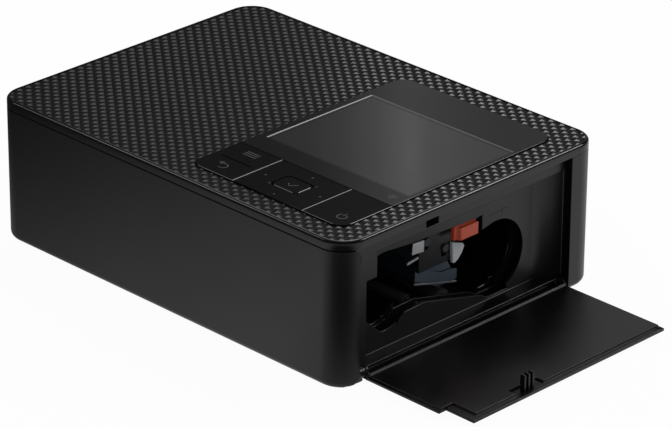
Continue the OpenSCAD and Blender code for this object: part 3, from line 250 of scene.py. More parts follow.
studio_sheet(
    "floor", floor_half, -floor_half, floor_half, paper_floor(), Matrix.Translation((0, 0, -floor_drop)),
)
softbox("overhead_softbox", (-0.50, 0.52, 1.05), (0.8, 0.8), 2.3)
softbox("far_softbox", (-0.405, 0.584, 1.02), (0.28, 0.3), 0.8)
softbox("left_softbox", (-0.95, -0.62, 0.97), (0.45, 0.45), 1.5)
softbox("right_softbox", (0.64, 0.95, 0.95), (0.45, 0.45), 5)
card = studio_sheet(
    "reflector_card", graded_card_half, graded_card_low, graded_card_high, graded_card(),
    Matrix.Translation(graded_card_place) @ graded_card_facing.to_track_quat("Z", "Y").to_matrix().to_4x4(),
)
card.visible_camera = card.visible_diffuse = card.visible_shadow = card.visible_transmission = False
scene.world = studio_world()


# Base case, front cover, frames and ink door
# Injection moulded black plastic with a very fine spark grain and edges eased by a fifth of a millimetre.
# The front cover and the ink door hang on steel pins; the frames are screwed inside the case.
crease = math.radians(35)
flat_enough = math.radians(0.6)
same_point = 2e-6
hair = 1e-5
cover_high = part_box("front_cover")[1]
seam_at_top, seam_at_ends = 0.00045, 0.0002
end_reach = 0.005


def two_tones(tree, colour, mottle):
    """A mix of a darker and a lighter tone of one colour: its factor and its result."""
    blend = add_node(tree, "ShaderNodeMix", data_type="RGBA")
    sockets = {s.identifier: s for s in (*blend.inputs, *blend.outputs)}
    for end, factor in (("A_Color", 1 - mottle), ("B_Color", 1 + mottle)):
        sockets[end].default_value = (*[min(c * factor, 1) for c in colour], 1)
    return sockets["Factor_Float"], sockets["Result_Color"]


def moulding(name, colour, rough, grain=0.00035, depth=0.00001, mottle=0.12, smudge=0.05, ior=1.5):
    """Moulded plastic: a base tone that wanders a little, fine grain in relief, and uneven gloss."""
    material = bpy.data.materials.new(name)
    material.use_nodes = True
    tree = material.node_tree
    shader = tree.nodes["Principled BSDF"]
    shader.inputs["IOR"].default_value = ior
    place = add_node(tree, "ShaderNodeTexCoord")
    tone = add_node(tree, "ShaderNodeTexNoise", {"Scale": 45, "Detail": 4})
    factor, mixed = two_tones(tree, colour, mottle)
    handled = add_node(tree, "ShaderNodeTexNoise", {"Scale": 28, "Detail": 6})
    sheen = {"From Min": 0.3, "From Max": 0.7, "To Min": rough - smudge, "To Max": rough + smudge}
    gloss = add_node(tree, "ShaderNodeMapRange", sheen)
    spark = add_node(tree, "ShaderNodeTexNoise", {"Scale": 1 / grain, "Detail": 2})
    relief = add_node(tree, "ShaderNodeBump", {"Strength": 0.5, "Distance": depth})
    wire(
        tree,
        *[(place.outputs["Object"], n.inputs["Vector"]) for n in (tone, handled, spark)],
        (tone.outputs["Fac"], factor),
        (mixed, shader.inputs["Base Color"]),
        (handled.outputs["Fac"], gloss.inputs["Value"]),
        (gloss.outputs["Result"], shader.inputs["Roughness"]),
        (spark.outputs["Fac"], relief.inputs["Height"]),
        (relief.outputs["Normal"], shader.inputs["Normal"]),
    )
    return material


def plain_mesh(made):
    """What the modifiers of an object make of it, as a mesh of its own."""
    bpy.context.view_layer.update()
    seen = made.evaluated_get(bpy.context.evaluated_depsgraph_get())
    mesh = bpy.data.meshes.new_from_object(seen)
    made.modifiers.clear()
    made.data = mesh
    return mesh


def ease_edges(piece, width, surface):
    """Rounds the weighted edges; a corner that the rounding throws out goes back to the surface."""
    edge = piece.modifiers.new("eased_edges", "BEVEL")
    edge.width = width
    edge.segments = 2
    edge.limit_method = "WEIGHT"
    edge.use_clamp_overlap = False
    flats = piece.modifiers.new("even_shading", "WEIGHTED_NORMAL")
    flats.weight = 100
    flats.keep_sharp = True
    for v in plain_mesh(piece).vertices:
        near, _, _, away = surface.find_nearest(v.co)
        if away > width:
            v.co = near


def eased(node, name, material, body, width=0.0002, left_sharp=None, drawn_in=None):
    """A finished copy of a CAD piece with joined faces, smooth curves and softened edges.

    left_sharp picks the edges that stay sharp, by their middle, and drawn_in moves points.
    """
    shape = bmesh.new()
    shape.from_mesh(nodes[node].data)
    bmesh.ops.remove_doubles(shape, verts=shape.verts, dist=same_point)
    bmesh.ops.dissolve_limit(shape, angle_limit=flat_enough, verts=shape.verts, edges=shape.edges)
    for v in shape.verts if drawn_in else ():
        v.co += drawn_in(v.co)
    surface = BVHTree.FromBMesh(shape)
    weight = shape.edges.layers.float.new("bevel_weight_edge")
    for e in shape.edges:
        bent = len(e.link_faces) == 2 and e.calc_face_angle() > crease
        kept = left_sharp and left_sharp((e.verts[0].co + e.verts[1].co) / 2)
        e[weight] = float(bent and not kept)
    mesh = bpy.data.meshes.new(name)
    shape.to_mesh(mesh)
    shape.free()
    if "custom_normal" in mesh.attributes:
        mesh.attributes.remove(mesh.attributes["custom_normal"])
    mesh.materials.clear()
    mesh.materials.append(material)
    for face in mesh.polygons:
        face.use_smooth = True
    mesh.set_sharp_from_angle(angle=crease)
    piece = bpy.data.objects.new(name, mesh)
    scene.collection.objects.link(piece)
    if width:
        ease_edges(piece, width, surface)
    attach(piece, body)
    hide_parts(node)
    return piece


def seam_room(p):
    """The front cover is moulded a little short of its opening along the top and at both ends."""
    at_end = p.y > cover_high.y - 5 * hair and abs(p.x) > cover_high.x - end_reach
    at_top = p.z > cover_high.z - 10 * hair
    return Vector((0, -seam_at_ends * at_end, -seam_at_top * at_top))


shell = moulding("shell_black", (0.002, 0.002, 0.0021), 0.34)
eased("base_case", "case_shell", shell, "housing")
eased("front_cover", "front_cover_shell", shell, "front_cover", drawn_in=seam_room)
eased("side_frame", "side_frame_shell", shell, "housing")
eased("ink_door", "ink_door_shell", shell, "ink_door")
eased("door_latch", "door_latch_comb", shell, "ink_door")
eased("front_frame", "front_frame_shell", shell, "housing")


# Top cover
# A flat moulded lid whose upper face is pressed with a lattice of small four-sided pyramids.
# It is snapped and screwed onto the case, and is open where the control panel sits.
lid_half_x, lid_half_y, top_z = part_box("top_cover")[1]
cell_a = Vector((0.00259, -0.00213, 0))
cell_b = Vector((0.00262, 0.00216, 0))
lattice_rows = 80
pyramid_rise = 0.0003
pyramid_share = 0.68
plain_rim = 0.00012
beyond_rim = 0.004
lid = moulding("top_black", (0.004, 0.004, 0.0042), 0.16, depth=0.000003, smudge=0.03)
ground = moulding("lattice_ground", (0.003, 0.003, 0.0032), 0.42, ior=1.2)


def sink_ground(lid_piece):
    """Sinks the lid's upper face inside a plain rim; gives the sunk face's outlines."""
    shape = bmesh.new()
    shape.from_mesh(lid_piece.data)
    upper = [f for f in shape.faces if f.normal.z > 0.99 and abs(f.calc_center_median().z - top_z) < hair]
    walls = bmesh.ops.inset_region(shape, faces=upper, thickness=plain_rim, use_even_offset=True)["faces"]
    for f in upper + walls:
        f.smooth = False
        f.material_index = 1
    lid_piece.data.materials.append(ground)
    for v in {v for f in upper for v in f.verts}:
        v.co.z -= pyramid_rise
    shape.to_mesh(lid_piece.data)
    left = dict.fromkeys(e for e in shape.edges if sum(f in upper for f in e.link_faces) == 1)
    outlines = []
    while left:
        first, _ = left.popitem()
        loop = list(first.verts)
        while (step := next((e for e in loop[-1].link_edges if e in left), None)) is not None:
            del left[step]
            loop.append(step.other_vert(loop[-1]))
        outlines.append([v.co.to_2d() for v in loop[:-1]])
    shape.free()
    return outlines


def polygon_area(points):
    return sum(a.cross(b) for a, b in zip(points, points[1:] + points[:1])) / 2


def pyramid_tree():
    """Geometry nodes: one pyramid set on each point of a sheared grid."""
    tree = bpy.data.node_groups.new("pyramid_lattice", "GeometryNodeTree")
    socket = tree.interface.new_socket
    socket("Geometry", in_out="INPUT", socket_type="NodeSocketGeometry")
    socket("Rows", in_out="INPUT", socket_type="NodeSocketInt")
    socket("Rise", in_out="INPUT", socket_type="NodeSocketFloat")
    socket("Material", in_out="INPUT", socket_type="NodeSocketMaterial")
    socket("Geometry", in_out="OUTPUT", socket_type="NodeSocketGeometry")
    given = add_node(tree, "NodeGroupInput")
    result = add_node(tree, "NodeGroupOutput")
    grid = add_node(tree, "GeometryNodeMeshGrid", {"Size X": 1, "Size Y": 1})
    index = add_node(tree, "GeometryNodeInputIndex")
    column = add_node(tree, "ShaderNodeMath", operation="MODULO")
    row = add_node(tree, "ShaderNodeMath", operation="DIVIDE")
    whole = add_node(tree, "ShaderNodeMath", operation="FLOOR")
    half = add_node(tree, "ShaderNodeMath", {1: 0.5}, operation="MULTIPLY")
    across = add_node(tree, "ShaderNodeVectorMath", {0: cell_a}, operation="SCALE")
    along = add_node(tree, "ShaderNodeVectorMath", {0: cell_b}, operation="SCALE")
    total = add_node(tree, "ShaderNodeVectorMath", operation="ADD")
    steps_a = add_node(tree, "ShaderNodeMath", operation="SUBTRACT")
    steps_b = add_node(tree, "ShaderNodeMath", operation="SUBTRACT")
    place = add_node(tree, "GeometryNodeSetPosition")
    four_sided = {"Vertices": 4, "Radius Top": 0, "Radius Bottom": 1}
    cone = add_node(tree, "GeometryNodeMeshCone", four_sided, fill_type="NGON")
    corner = add_node(tree, "GeometryNodeInputPosition")
    part = add_node(tree, "ShaderNodeSeparateXYZ")
    half_wide = (cell_a + cell_b) / 2 * pyramid_share
    half_deep = (cell_b - cell_a) / 2 * pyramid_share
    wide = add_node(tree, "ShaderNodeVectorMath", {0: half_wide}, operation="SCALE")
    deep = add_node(tree, "ShaderNodeVectorMath", {0: half_deep}, operation="SCALE")
    tall = add_node(tree, "ShaderNodeVectorMath", {0: (0, 0, 1)}, operation="SCALE")
    flat = add_node(tree, "ShaderNodeVectorMath", operation="ADD")
    solid = add_node(tree, "ShaderNodeVectorMath", operation="ADD")
    shaped = add_node(tree, "GeometryNodeSetPosition")
    spread = add_node(tree, "GeometryNodeInstanceOnPoints")
    real = add_node(tree, "GeometryNodeRealizeInstances")
    paint = add_node(tree, "GeometryNodeSetMaterial")
    wire(
        tree,
        (given.outputs["Rows"], grid.inputs["Vertices X"]),
        (given.outputs["Rows"], grid.inputs["Vertices Y"]),
        (grid.outputs["Mesh"], place.inputs["Geometry"]),
        (index.outputs[0], column.inputs[0]),
        (given.outputs["Rows"], column.inputs[1]),
        (index.outputs[0], row.inputs[0]),
        (given.outputs["Rows"], row.inputs[1]),
        (row.outputs[0], whole.inputs[0]),
        (given.outputs["Rows"], half.inputs[0]),
        (column.outputs[0], steps_a.inputs[0]),
        (half.outputs[0], steps_a.inputs[1]),
        (whole.outputs[0], steps_b.inputs[0]),
        (half.outputs[0], steps_b.inputs[1]),
        (steps_a.outputs[0], across.inputs["Scale"]),
        (steps_b.outputs[0], along.inputs["Scale"]),
        (across.outputs[0], total.inputs[0]),
        (along.outputs[0], total.inputs[1]),
        (total.outputs[0], place.inputs["Position"]),
        (place.outputs["Geometry"], spread.inputs["Points"]),
        (given.outputs["Rise"], cone.inputs["Depth"]),
        (corner.outputs["Position"], part.inputs[0]),
        (part.outputs["X"], wide.inputs["Scale"]),
        (part.outputs["Y"], deep.inputs["Scale"]),
        (part.outputs["Z"], tall.inputs["Scale"]),
        (wide.outputs[0], flat.inputs[0]),
        (deep.outputs[0], flat.inputs[1]),
        (flat.outputs[0], solid.inputs[0]),
        (tall.outputs[0], solid.inputs[1]),
        (cone.outputs["Mesh"], shaped.inputs["Geometry"]),
        (solid.outputs[0], shaped.inputs["Position"]),
        (shaped.outputs["Geometry"], spread.inputs["Instance"]),
        (spread.outputs["Instances"], real.inputs["Geometry"]),
        (real.outputs["Geometry"], paint.inputs["Geometry"]),
        (given.outputs["Material"], paint.inputs["Material"]),
        (paint.outputs["Geometry"], result.inputs["Geometry"]),
    )
    return tree


def grown(name, tree, **values):
    """The plain piece that a geometry nodes tree makes."""
    piece = bpy.data.objects.new(name, bpy.data.meshes.new(name))
    scene.collection.objects.link(piece)
    maker = piece.modifiers.new("maker", "NODES")
    maker.node_group = tree
    for socket in tree.interface.items_tree:
        if socket.in_out == "INPUT" and socket.name in values:
            maker[socket.identifier] = values[socket.name]
    plain_mesh(piece)
    return piece


def inside(p, polygon):
    """Whether an even-odd ray from the point crosses the polygon."""
    crossings = 0
    for a, b in zip(polygon, polygon[1:] + polygon[:1]):
        if (a.y > p.y) != (b.y > p.y) and p.x < a.x + (b.x - a.x) * (p.y - a.y) / (b.y - a.y):
            crossings += 1
    return crossings % 2 == 1


def cut_along(shape, polygon):
    """Cuts the faces that lie near each side of the polygon along that side."""
    for a, b in zip(polygon, polygon[1:] + polygon[:1]):
        side = b - a
        if side.length < 1e-7:
            continue
        outward = Vector((side.y, -side.x, 0)).normalized()
        near = []
        for f in shape.faces:
            c = f.calc_center_median().to_2d()
            t = max(0, min(1, (c - a).dot(side) / side.length_squared))
            if (a + side * t - c).length < beyond_rim:
                near.append(f)
        geom = near + list(dict.fromkeys(part for f in near for part in (*f.edges, *f.verts)))
        bmesh.ops.bisect_plane(shape, geom=geom, dist=1e-7, plane_co=(a.x, a.y, 0), plane_no=outward)


def trim_lattice(lattice, rim, hole):
    """Cuts the pyramids off at the lid's rim and at the panel's opening, and closes the cut ones."""
    shape = bmesh.new()
    shape.from_mesh(lattice.data)
    for v in shape.verts:
        v.co.z += top_z - pyramid_rise - 0.000001
    middle = {f: f.calc_center_median() for f in shape.faces}
    far = [
        f for f, c in middle.items()
        if abs(c.x) > lid_half_x + beyond_rim or abs(c.y) > lid_half_y + beyond_rim
    ]
    bmesh.ops.delete(shape, geom=far, context="FACES")
    cut_along(shape, rim)
    cut_along(shape, hole)
    middle = {f: f.calc_center_median().to_2d() for f in shape.faces}
    outside = [f for f, c in middle.items() if not inside(c, rim) or inside(c, hole)]
    bmesh.ops.delete(shape, geom=outside, context="FACES")
    bmesh.ops.remove_doubles(shape, verts=shape.verts, dist=1e-6)
    bmesh.ops.holes_fill(shape, edges=[e for e in shape.edges if len(e.link_faces) == 1], sides=0)
    bmesh.ops.recalc_face_normals(shape, faces=shape.faces)
    torn = {v for e in shape.edges if len(e.link_faces) != 2 for v in e.verts}
    while True:
        wider = torn | {e.other_vert(v) for v in torn for e in v.link_edges}
        if len(wider) == len(torn):
            break
        torn = wider
    bmesh.ops.delete(shape, geom=list(torn), context="VERTS")
    shape.to_mesh(lattice.data)
    shape.free()
    for face in lattice.data.polygons:
        face.use_smooth = False


top_cover_shell = eased("top_cover", "top_cover_shell", lid, "housing", width=0)
outlines = sorted(sink_ground(top_cover_shell), key=lambda points: abs(polygon_area(points)))
hole, rim = [p if polygon_area(p) > 0 else p[::-1] for p in (outlines[0], outlines[-1])]
lattice = grown("top_lattice", pyramid_tree(), Rows=lattice_rows, Rise=pyramid_rise, Material=lid)
trim_lattice(lattice, rim, hole)
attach(lattice, "housing")


# Control panel
# A glossy acrylic inlay with the display behind its window, and four keys under one gloss film in front.
# The inlay is glued into the top cover; the keys rest on the tact switches of a board below.
polish = {"depth": 0.000002, "mottle": 0.05, "smudge": 0.03}
glass = {"grain": 0.003, "depth": 0.000001, "mottle": 0.04, "smudge": 0.02}
glossy = moulding("panel_gloss", (0.004, 0.004, 0.0043), 0.12, grain=0.002, **polish)
keycap = moulding("key_gloss", (0.0035, 0.0035, 0.0037), 0.3, ior=1.13, grain=0.002, **polish)
# The window is a lighter grey than the inlay: partly the display's own grey, partly a painted reflection.
pane = moulding("window", (0.015, 0.0155, 0.0152), 0.08, ior=1.9, **glass)
mask = moulding("window_mask", (0.011, 0.0113, 0.0112), 0.1, ior=1.75, **glass)
strip_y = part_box("panel_inlay")[0].y
window_low, window_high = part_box("display_window")
pane_top = window_high.z + 0.0006
bezel_top = pane_top + 0.0003
window_lap = 0.0007
key_low, key_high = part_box("confirm_key")
key_centre = (key_low + key_high) / 2
key_top = key_high.z
key_gap = 0.0002
key_chamfer, confirm_chamfer = 0.00012, 0.00015
outline_band = 0.0012
rocker_groove_reach = 0.011
pip_radius, pip_rise, pip_sunk = 0.0006, 0.00018, 0.00005
pip_places = ((key_low.x - 0.00055, key_low.y - 0.0001), (key_high.x + 0.00085, key_high.y))
pip_profile = ((1, 0), (0.85, 0.5), (0.6, 0.82), (0.3, 0.96))


def key_cap(key, chamfer, drawn_in=None):
    """A key with a chamfer run round the outline of its top; the chamfer keeps the polish of the tool."""
    piece = eased(key, key + "_cap", keycap, key, width=0, drawn_in=drawn_in)
    piece.data.materials.append(glossy)
    shape = bmesh.new()
    shape.from_mesh(piece.data)
    top = [f for f in shape.faces if f.normal.z > 0.99 and f.calc_center_median().z > key_top - hair]
    for f in shape.faces:
        f.smooth = abs(f.normal.z) < 0.5
    edge_verts = {v for f in top for v in f.verts}
    low, high = (Vector([pick(v.co[i] for v in edge_verts) for i in (0, 1)]) for pick in (min, max))
    middle, half = (low + high) / 2, (high - low) / 2
    ring = bmesh.ops.inset_region(shape, faces=top, thickness=chamfer, use_even_offset=True)["faces"]
    for f in ring:
        c = f.calc_center_median().to_2d() - middle
        on_outline = max(abs(c.x) - half.x, abs(c.y) - half.y) > -outline_band
        outer = on_outline or (key == "rocker_key" and c.length > rocker_groove_reach)
        f.material_index = int(outer)
        f.smooth = False
        for v in f.verts if outer else ():
            if v not in edge_verts:
                v.co.z = key_top - chamfer
    shape.to_mesh(piece.data)
    shape.free()


def gap_room(p):
    """The confirm key is a little smaller than its opening on every side."""
    return Vector([math.copysign(key_gap, c - q) for c, q in zip(key_centre[:2], p[:2])] + [0])


def finished(name, shape, material, body):
    """Makes a closed shape a piece of its own."""
    bmesh.ops.recalc_face_normals(shape, faces=shape.faces)
    mesh = bpy.data.meshes.new(name)
    shape.to_mesh(mesh)
    shape.free()
    mesh.materials.append(material)
    piece = bpy.data.objects.new(name, mesh)
    scene.collection.objects.link(piece)
    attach(piece, body)


def joined_rings(shape, rings, closed=False):
    """Faces between each ring of points and the next."""
    for one, other in zip(rings, rings[1:] + (rings[:1] if closed else [])):
        for i in range(len(one)):
            k = (i + 1) % len(one)
            shape.faces.new((one[i], one[k], other[k], other[i])).smooth = not closed


def window_frame(name, section, material):
    """A closed ring round the display: each corner of its section is (inset, height)."""
    shape = bmesh.new()
    rings = []
    for inset, z in section:
        x0, x1 = window_low.x + window_lap + inset, window_high.x - window_lap - inset
        y0, y1 = window_low.y + window_lap + inset, window_high.y - window_lap - inset
        rings.append([shape.verts.new((x, y, z)) for x, y in ((x0, y0), (x1, y0), (x1, y1), (x0, y1))])
    joined_rings(shape, rings, closed=True)
    finished(name, shape, material, "housing")


def pips():
    """Low domes on the four-way key that mark the ends of a diagonal of the confirm key."""
    shape = bmesh.new()
    steps = 16
    turns = [math.tau * i / steps for i in range(steps)]
    levels = [(1, key_top - pip_sunk)] + [(share, key_top + rise * pip_rise) for share, rise in pip_profile]
    for x, y in pip_places:
        rings = []
        for share, z in levels:
            r = pip_radius * share
            rings.append([shape.verts.new((x + r * math.cos(t), y + r * math.sin(t), z)) for t in turns])
        joined_rings(shape, rings)
        shape.faces.new(rings[0][::-1])
        shape.faces.new(rings[-1]).smooth = True
    finished("key_corner_pips", shape, glossy, "four_way_key")


eased(
    "panel_inlay", "panel_inlay_sheet", glossy, "housing", width=0.00018,
    left_sharp=lambda p: abs(p.y - strip_y) < 10 * hair,
)
eased(
    "display_window", "display_window_pane", pane, "housing", width=0.00015,
    drawn_in=lambda p: Vector((0, 0, (p.z > window_high.z - 10 * hair) * (pane_top - p.z))),
)
for key in ("rocker_key", "four_way_key", "power_key"):
    key_cap(key, key_chamfer)
key_cap("confirm_key", confirm_chamfer, gap_room)
film_low, film_high = pane_top + 0.00001, pane_top + 0.00004
bezel_section = [(0, bezel_top), (0.00026, film_high), (0.00026, film_low), (0, film_low)]
mask_section = [(0.0003, film_high), (0.0013, film_high), (0.0013, film_low), (0.0003, film_low)]
window_frame("display_bezel", bezel_section, glossy)
window_frame("display_mask", mask_section, mask)
pips()


# Printed marks
# Thin grey pad-printed symbols on the keys and the inlay: menu, back, arrows, confirm, power, wireless.
# Each is a raised film of ink a few hundredths of a millimetre thick; places here are in millimetres.
ink = moulding("symbol_ink", (0.06, 0.06, 0.061), 0.5, grain=0.0002, depth=0.000003, mottle=0.08)
ink_thick = 0.00003
bold, fine = 0.4, 0.38
menu_from, menu_to = 11.6, 18.0
menu_rows = (-34.9, -36.2, -37.5)
back_centre, back_radius = (14.3, -49.9), 1.75
back_line = ((11.4, -48.15), (14.0, -48.15))
back_arrow = ((10.7, -48.15), (12.6, -49.35), (12.6, -46.95))
direction_places = ((30.4, -44.5, 180), (44.1, -34.3, 90), (57.0, -43.6, 0), (43.9, -53.5, 270))
arrow_reach = 0.6
tick = ((41.3, -43.5), (42.6, -44.9), (45.1, -42.3))
power_centre, power_radius = (73.7, -49.5), 1.8
power_line = ((73.7, -48.9), (73.7, -46.9))
wave_centre, wave_dot = (74.6, -27.2), 0.35
wave_radii = (1.0, 1.9, 2.8)


def drawn(points):
    return [Vector(p) for p in points]


def arc(centre, radius, start, end, steps=20):
    """Points of an arc between two angles in degrees."""
    turns = [math.radians(start + (end - start) * i / steps) for i in range(steps + 1)]
    return [Vector((centre[0] + radius * math.cos(t), centre[1] + radius * math.sin(t))) for t in turns]


def two_sides(points, width):
    """Both sides of a line of even width through the points."""
    last = len(points) - 1
    sides = ([], [])
    for i, point in enumerate(points):
        along = points[min(i + 1, last)] - points[max(i - 1, 0)]
        normal = along.orthogonal().normalized() * width / 2
        sides[0].append(point + normal)
        sides[1].append(point - normal)
    return sides


def printed(name, strokes, shapes, body):
    """Ink symbols on the panel's top: strokes are (points, width), shapes are filled outlines."""
    film = bmesh.new()

    def prism(outline):
        lower = [film.verts.new((p.x / 1000, p.y / 1000, key_top)) for p in outline]
        upper = [film.verts.new((p.x / 1000, p.y / 1000, key_top + ink_thick)) for p in outline]
        film.faces.new(lower[::-1])
        film.faces.new(upper)
        for i in range(len(outline)):
            k = (i + 1) % len(outline)
            film.faces.new((lower[i], lower[k], upper[k], upper[i]))

    for points, width in strokes:
        one, other = two_sides(points, width)
        for i in range(len(points) - 1):
            prism([one[i], one[i + 1], other[i + 1], other[i]])
    for outline in shapes:
        prism(outline)
    bmesh.ops.remove_doubles(film, verts=film.verts, dist=1e-7)
    finished(name, film, ink, body)


menu = [(drawn(((menu_from, y), (menu_to, y))), bold) for y in menu_rows]
back = [(arc(back_centre, back_radius, -120, 100), fine), (drawn(back_line), fine)]
printed("menu_and_back_marks", menu + back, [drawn(back_arrow)], "rocker_key")
arrows = []
for x, y, heading in direction_places:
    turns = [math.radians(heading + corner) for corner in (0, 130, 230)]
    arrows.append([Vector((x + arrow_reach * math.cos(t), y + arrow_reach * math.sin(t))) for t in turns])
printed("direction_marks", [], arrows, "four_way_key")
printed("confirm_mark", [(drawn(tick), fine)], [], "confirm_key")
power = [(arc(power_centre, power_radius, 125, 415), bold), (drawn(power_line), bold)]
printed("power_mark", power, [], "power_key")
waves = [(arc(wave_centre, radius, 45, 135, 10), bold) for radius in wave_radii]
printed("wireless_mark", waves, [arc(wave_centre, wave_dot, 0, 330, 10)], "housing")


# Eject lever
# One orange-red acetal moulding on a steel pin behind the pocket plate.
# It shows as the bright tab at the top of the cassette opening.
orange = moulding("lever_orange", (0.48, 0.065, 0.028), 0.32, grain=0.0006, mottle=0.1, smudge=0.06)
eased("eject_lever", "eject_lever_arm", orange, "eject_lever", width=0.00025)


# Pocket plate and cassette guide
# The right side plate is steel with a smooth black coat; the guide under the cassette is moulded with rails.
# Both are screwed to the base case, and the cassette slides between them.
coated = moulding("coated_steel", (0.005, 0.0052, 0.0065), 0.3, grain=0.0004, depth=0.000006)
rail_black = moulding("rail_black", (0.002, 0.002, 0.0022), 0.22, grain=0.0004, depth=0.000004)
eased("right_chassis", "right_side_plate", coated, "housing", width=0.00015)
eased("cassette_guide", "cassette_rails", rail_black, "housing", width=0.0003)


# Cassette latch and trim
# A bright steel bracket with its pin and a white acetal latch arm, on the outer face of the side plate,
# the blue-grey end sheet of the head's duct, and a raised arrow on the frame. Outlines in millimetres.
drawn_lines = (40, 900, 900)
turned_lines = (900, 60, 60)
bracket = [(-17.6, 34.2), (-17.2, 38.6), (-11.2, 38.2), (-11.4, 33.6)]
pin = [(-19.4, 30.4), (-19.2, 31.4), (-13.6, 32.2), (-13.4, 31.2)]
arm = [(3.4, 24.2), (2.9, 32.6), (8.6, 30.4), (9.3, 29.2), (8.2, 27.0), (6.2, 24.9), (4.6, 24.0)]
duct_top = [(-13.4, 21.3), (-13.2, 27.4), (-9, 25.2), (-3, 21.9), (1, 20.4), (5, 20.3), (8.6, 19.4)]
duct_bottom = [(8.6, 15.4), (4.6, 15.0), (-4, 17.6)]
duct_edge = [(-13.6, 20.0), (-13.6, 20.7), (8.6, 14.6), (8.6, 13.9)]
arrow_stem = [(17.5, 39.3), (17.5, 40.1), (24, 40.1), (24, 39.3)]
arrow_head = [(24, 38.5), (24, 40.9), (27.4, 39.7)]
bracket_x, pin_x, arm_x = (76.22, 77.2), (75.4, 76.6), (76.22, 77.6)
duct_sheet_x, duct_edge_x, arrow_x = (74.1, 74.8), (74.1, 74.9), (81.95, 82.12)
sheet_ease = 0.00012


def worked_metal(name, colour, rough, lines=drawn_lines, mottle=0.1):
    """Metal with fine lines along one direction and uneven dullness."""
    material = bpy.data.materials.new(name)
    material.use_nodes = True
    tree = material.node_tree
    shader = tree.nodes["Principled BSDF"]
    shader.inputs["Metallic"].default_value = 1
    place = add_node(tree, "ShaderNodeTexCoord")
    drawn = add_node(tree, "ShaderNodeMapping", {"Scale": lines})
    streaks = add_node(tree, "ShaderNodeTexNoise", {"Scale": 1, "Detail": 3})
    tone = add_node(tree, "ShaderNodeTexNoise", {"Scale": 90})
    dull = add_node(tree, "ShaderNodeMapRange", {"To Min": rough - 0.08, "To Max": rough + 0.1})
    factor, mixed = two_tones(tree, colour, mottle)
    relief = add_node(tree, "ShaderNodeBump", {"Strength": 0.3, "Distance": 0.00001})
    wire(
        tree,
        (place.outputs["Object"], drawn.inputs["Vector"]),
        (drawn.outputs["Vector"], streaks.inputs["Vector"]),
        (place.outputs["Object"], tone.inputs["Vector"]),
        (tone.outputs["Fac"], factor),
        (mixed, shader.inputs["Base Color"]),
        (streaks.outputs["Fac"], dull.inputs["Value"]),
        (dull.outputs["Result"], shader.inputs["Roughness"]),
        (streaks.outputs["Fac"], relief.inputs["Height"]),
        (relief.outputs["Normal"], shader.inputs["Normal"]),
    )
    return material


def plate_piece(name, outline, faces_x, material):
    """A flat piece with eased edges: an outline in Y and Z between two X faces."""
    shape = bmesh.new()
    near, far = ([shape.verts.new((x / 1000, y / 1000, z / 1000)) for y, z in outline] for x in faces_x)
    shape.faces.new(near)
    shape.faces.new(far[::-1])
    for i in range(len(outline)):
        k = (i + 1) % len(outline)
        shape.faces.new((near[i], far[i], far[k], near[k]))
    bmesh.ops.recalc_face_normals(shape, faces=shape.faces)
    bmesh.ops.bevel(
        shape, geom=shape.edges[:], offset=sheet_ease, segments=2, affect="EDGES", clamp_overlap=True,
    )
    finished(name, shape, material, "housing")


bright_steel = worked_metal("module_metal", (0.56, 0.57, 0.59), 0.35)
blue_sink = worked_metal("sink_aluminium", (0.13, 0.17, 0.21), 0.5, (60, 700, 700))
white_latch = moulding("latch_white", (0.42, 0.45, 0.47), 0.35, grain=0.0006, depth=0.000006)
mark_grey = moulding("mark_grey", (0.02, 0.02, 0.021), 0.45)
plate_piece("latch_bracket", bracket, bracket_x, bright_steel)
plate_piece("bracket_pin", pin, pin_x, bright_steel)
plate_piece("latch_arm", arm, arm_x, white_latch)
plate_piece("duct_end_sheet", duct_top + duct_bottom, duct_sheet_x, blue_sink)
plate_piece("duct_lower_edge", duct_edge, duct_edge_x, bright_steel)
for i, outline in enumerate((arrow_stem, arrow_head)):
    plate_piece("insertion_arrow_%d" % i, outline, arrow_x, mark_grey)


# Chassis plates, cross bars and pins
# Zinc-plated steel sheet, bent and pierced, with turned steel pins and screws.
# The plates stand on the base case and carry the rollers, gears and motors between them.
def dressed(material, *members):
    """Gives CAD pieces that show as they are their finish."""
    for member in members:
        mesh = nodes[member].data
        mesh.materials.clear()
        mesh.materials.append(material)


sheet_steel = worked_metal("sheet_steel", (0.55, 0.56, 0.58), 0.4)
shaft_steel = worked_metal("shaft_steel", (0.6, 0.61, 0.63), 0.25, turned_lines)
dressed(sheet_steel, "left_chassis", "cross_bars", "motor_plate")
dressed(shaft_steel, "front_hinge_pins", "door_hinge_pins", "lever_pin", "gear_pins", "case_screws")


# Motors and their pinions
# Small can motors with drawn steel shells and pressed-on brass pinions.
# They are screwed to the motor plate.
can_steel = worked_metal("motor_steel", (0.4, 0.41, 0.43), 0.35, turned_lines)
brass = worked_metal("gear_brass", (0.68, 0.5, 0.22), 0.3)
dressed(can_steel, "feed_motor", "ribbon_motor", "head_motor")
dressed(brass, "feed_pinion", "ribbon_pinion", "head_pinion")


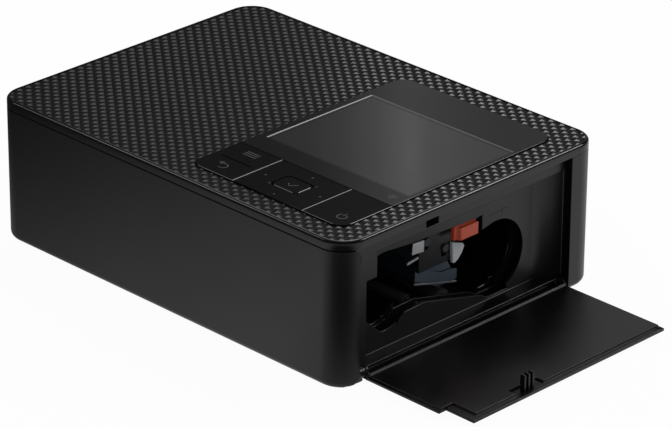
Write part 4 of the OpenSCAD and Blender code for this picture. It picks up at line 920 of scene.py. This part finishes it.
# Rollers, cam shaft and gears
# Ground steel shafts, rubber sleeves and moulded acetal gears that are pressed onto the shafts.
# The shafts run in bores of the two side plates, and the gears lie outside the left one.
rubber = moulding("roller_rubber", (0.03, 0.03, 0.032), 0.7, grain=0.0002, depth=0.00002)
natural = moulding("gear_white", (0.68, 0.67, 0.61), 0.42, grain=0.0005, depth=0.000008)
dressed(rubber, "platen_roller", "pinch_roller", "pickup_roller")
dressed(shaft_steel, "grip_roller", "cam_shaft")
dressed(natural, "grip_gear", "pickup_gear", "feed_idler", "pickup_idler", "take_up_gear", "cam_gear")


# Print head
# A dark moulded carriage with a blue-grey aluminium heat sink and a glazed ceramic strip under it.
# It slides in slots of the side plates and the cams press it down.
dark_carriage = moulding("carriage_dark", (0.022, 0.025, 0.032), 0.4, grain=0.0003, depth=0.00002)
glazed = moulding("ceramic", (0.6, 0.56, 0.47), 0.15, grain=0.002, depth=0.000002)
dressed(dark_carriage, "head_carriage")
dressed(blue_sink, "heat_sink")
dressed(glazed, "head_strip")


# Ribbon spindles
# White moulded hubs that plug into the ends of the cassette's spools.
# They turn in the left side plate.
spindle = moulding("spindle_white", (0.6, 0.59, 0.6), 0.38, grain=0.0005, depth=0.000008)
dressed(spindle, "take_up_spindle", "supply_spindle")


# Boards, display module, sockets and cable
# Green printed boards with black parts, steel-shelled modules and a white flat cable between them.
# The boards are screwed to posts, and the modules are soldered on or clipped in.
board = moulding("board_green", (0.02, 0.085, 0.04), 0.3, grain=0.0015)
chips = moulding("chip_black", (0.012, 0.012, 0.013), 0.45, grain=0.0004)
ribbon = moulding("cable_white", (0.62, 0.62, 0.58), 0.35, grain=0.001, depth=0.000005)
dressed(board, "key_board", "main_board", "rear_board")
dressed(chips, "board_parts")
dressed(bright_steel, "display_module", "card_socket", "data_socket")
dressed(ribbon, "flat_cable")


# Paper guide, fan and power inlet
# Black mouldings inside the case, with a coarser grain than the shell.
# The guide lies under the rollers; the fan and the inlet are clipped to the rear wall.
inner = moulding("inner_black", (0.003, 0.003, 0.0033), 0.45, grain=0.0003, depth=0.00002)
dressed(inner, "paper_guide", "fan_frame", "fan_rotor", "power_inlet")


# Feet
# Four pads of dark rubber.
# They are glued into shallow seats under the base case.
foot_rubber = moulding("foot_rubber", (0.02, 0.02, 0.02), 0.75, grain=0.0003, depth=0.00002)
dressed(foot_rubber, "rubber_feet")
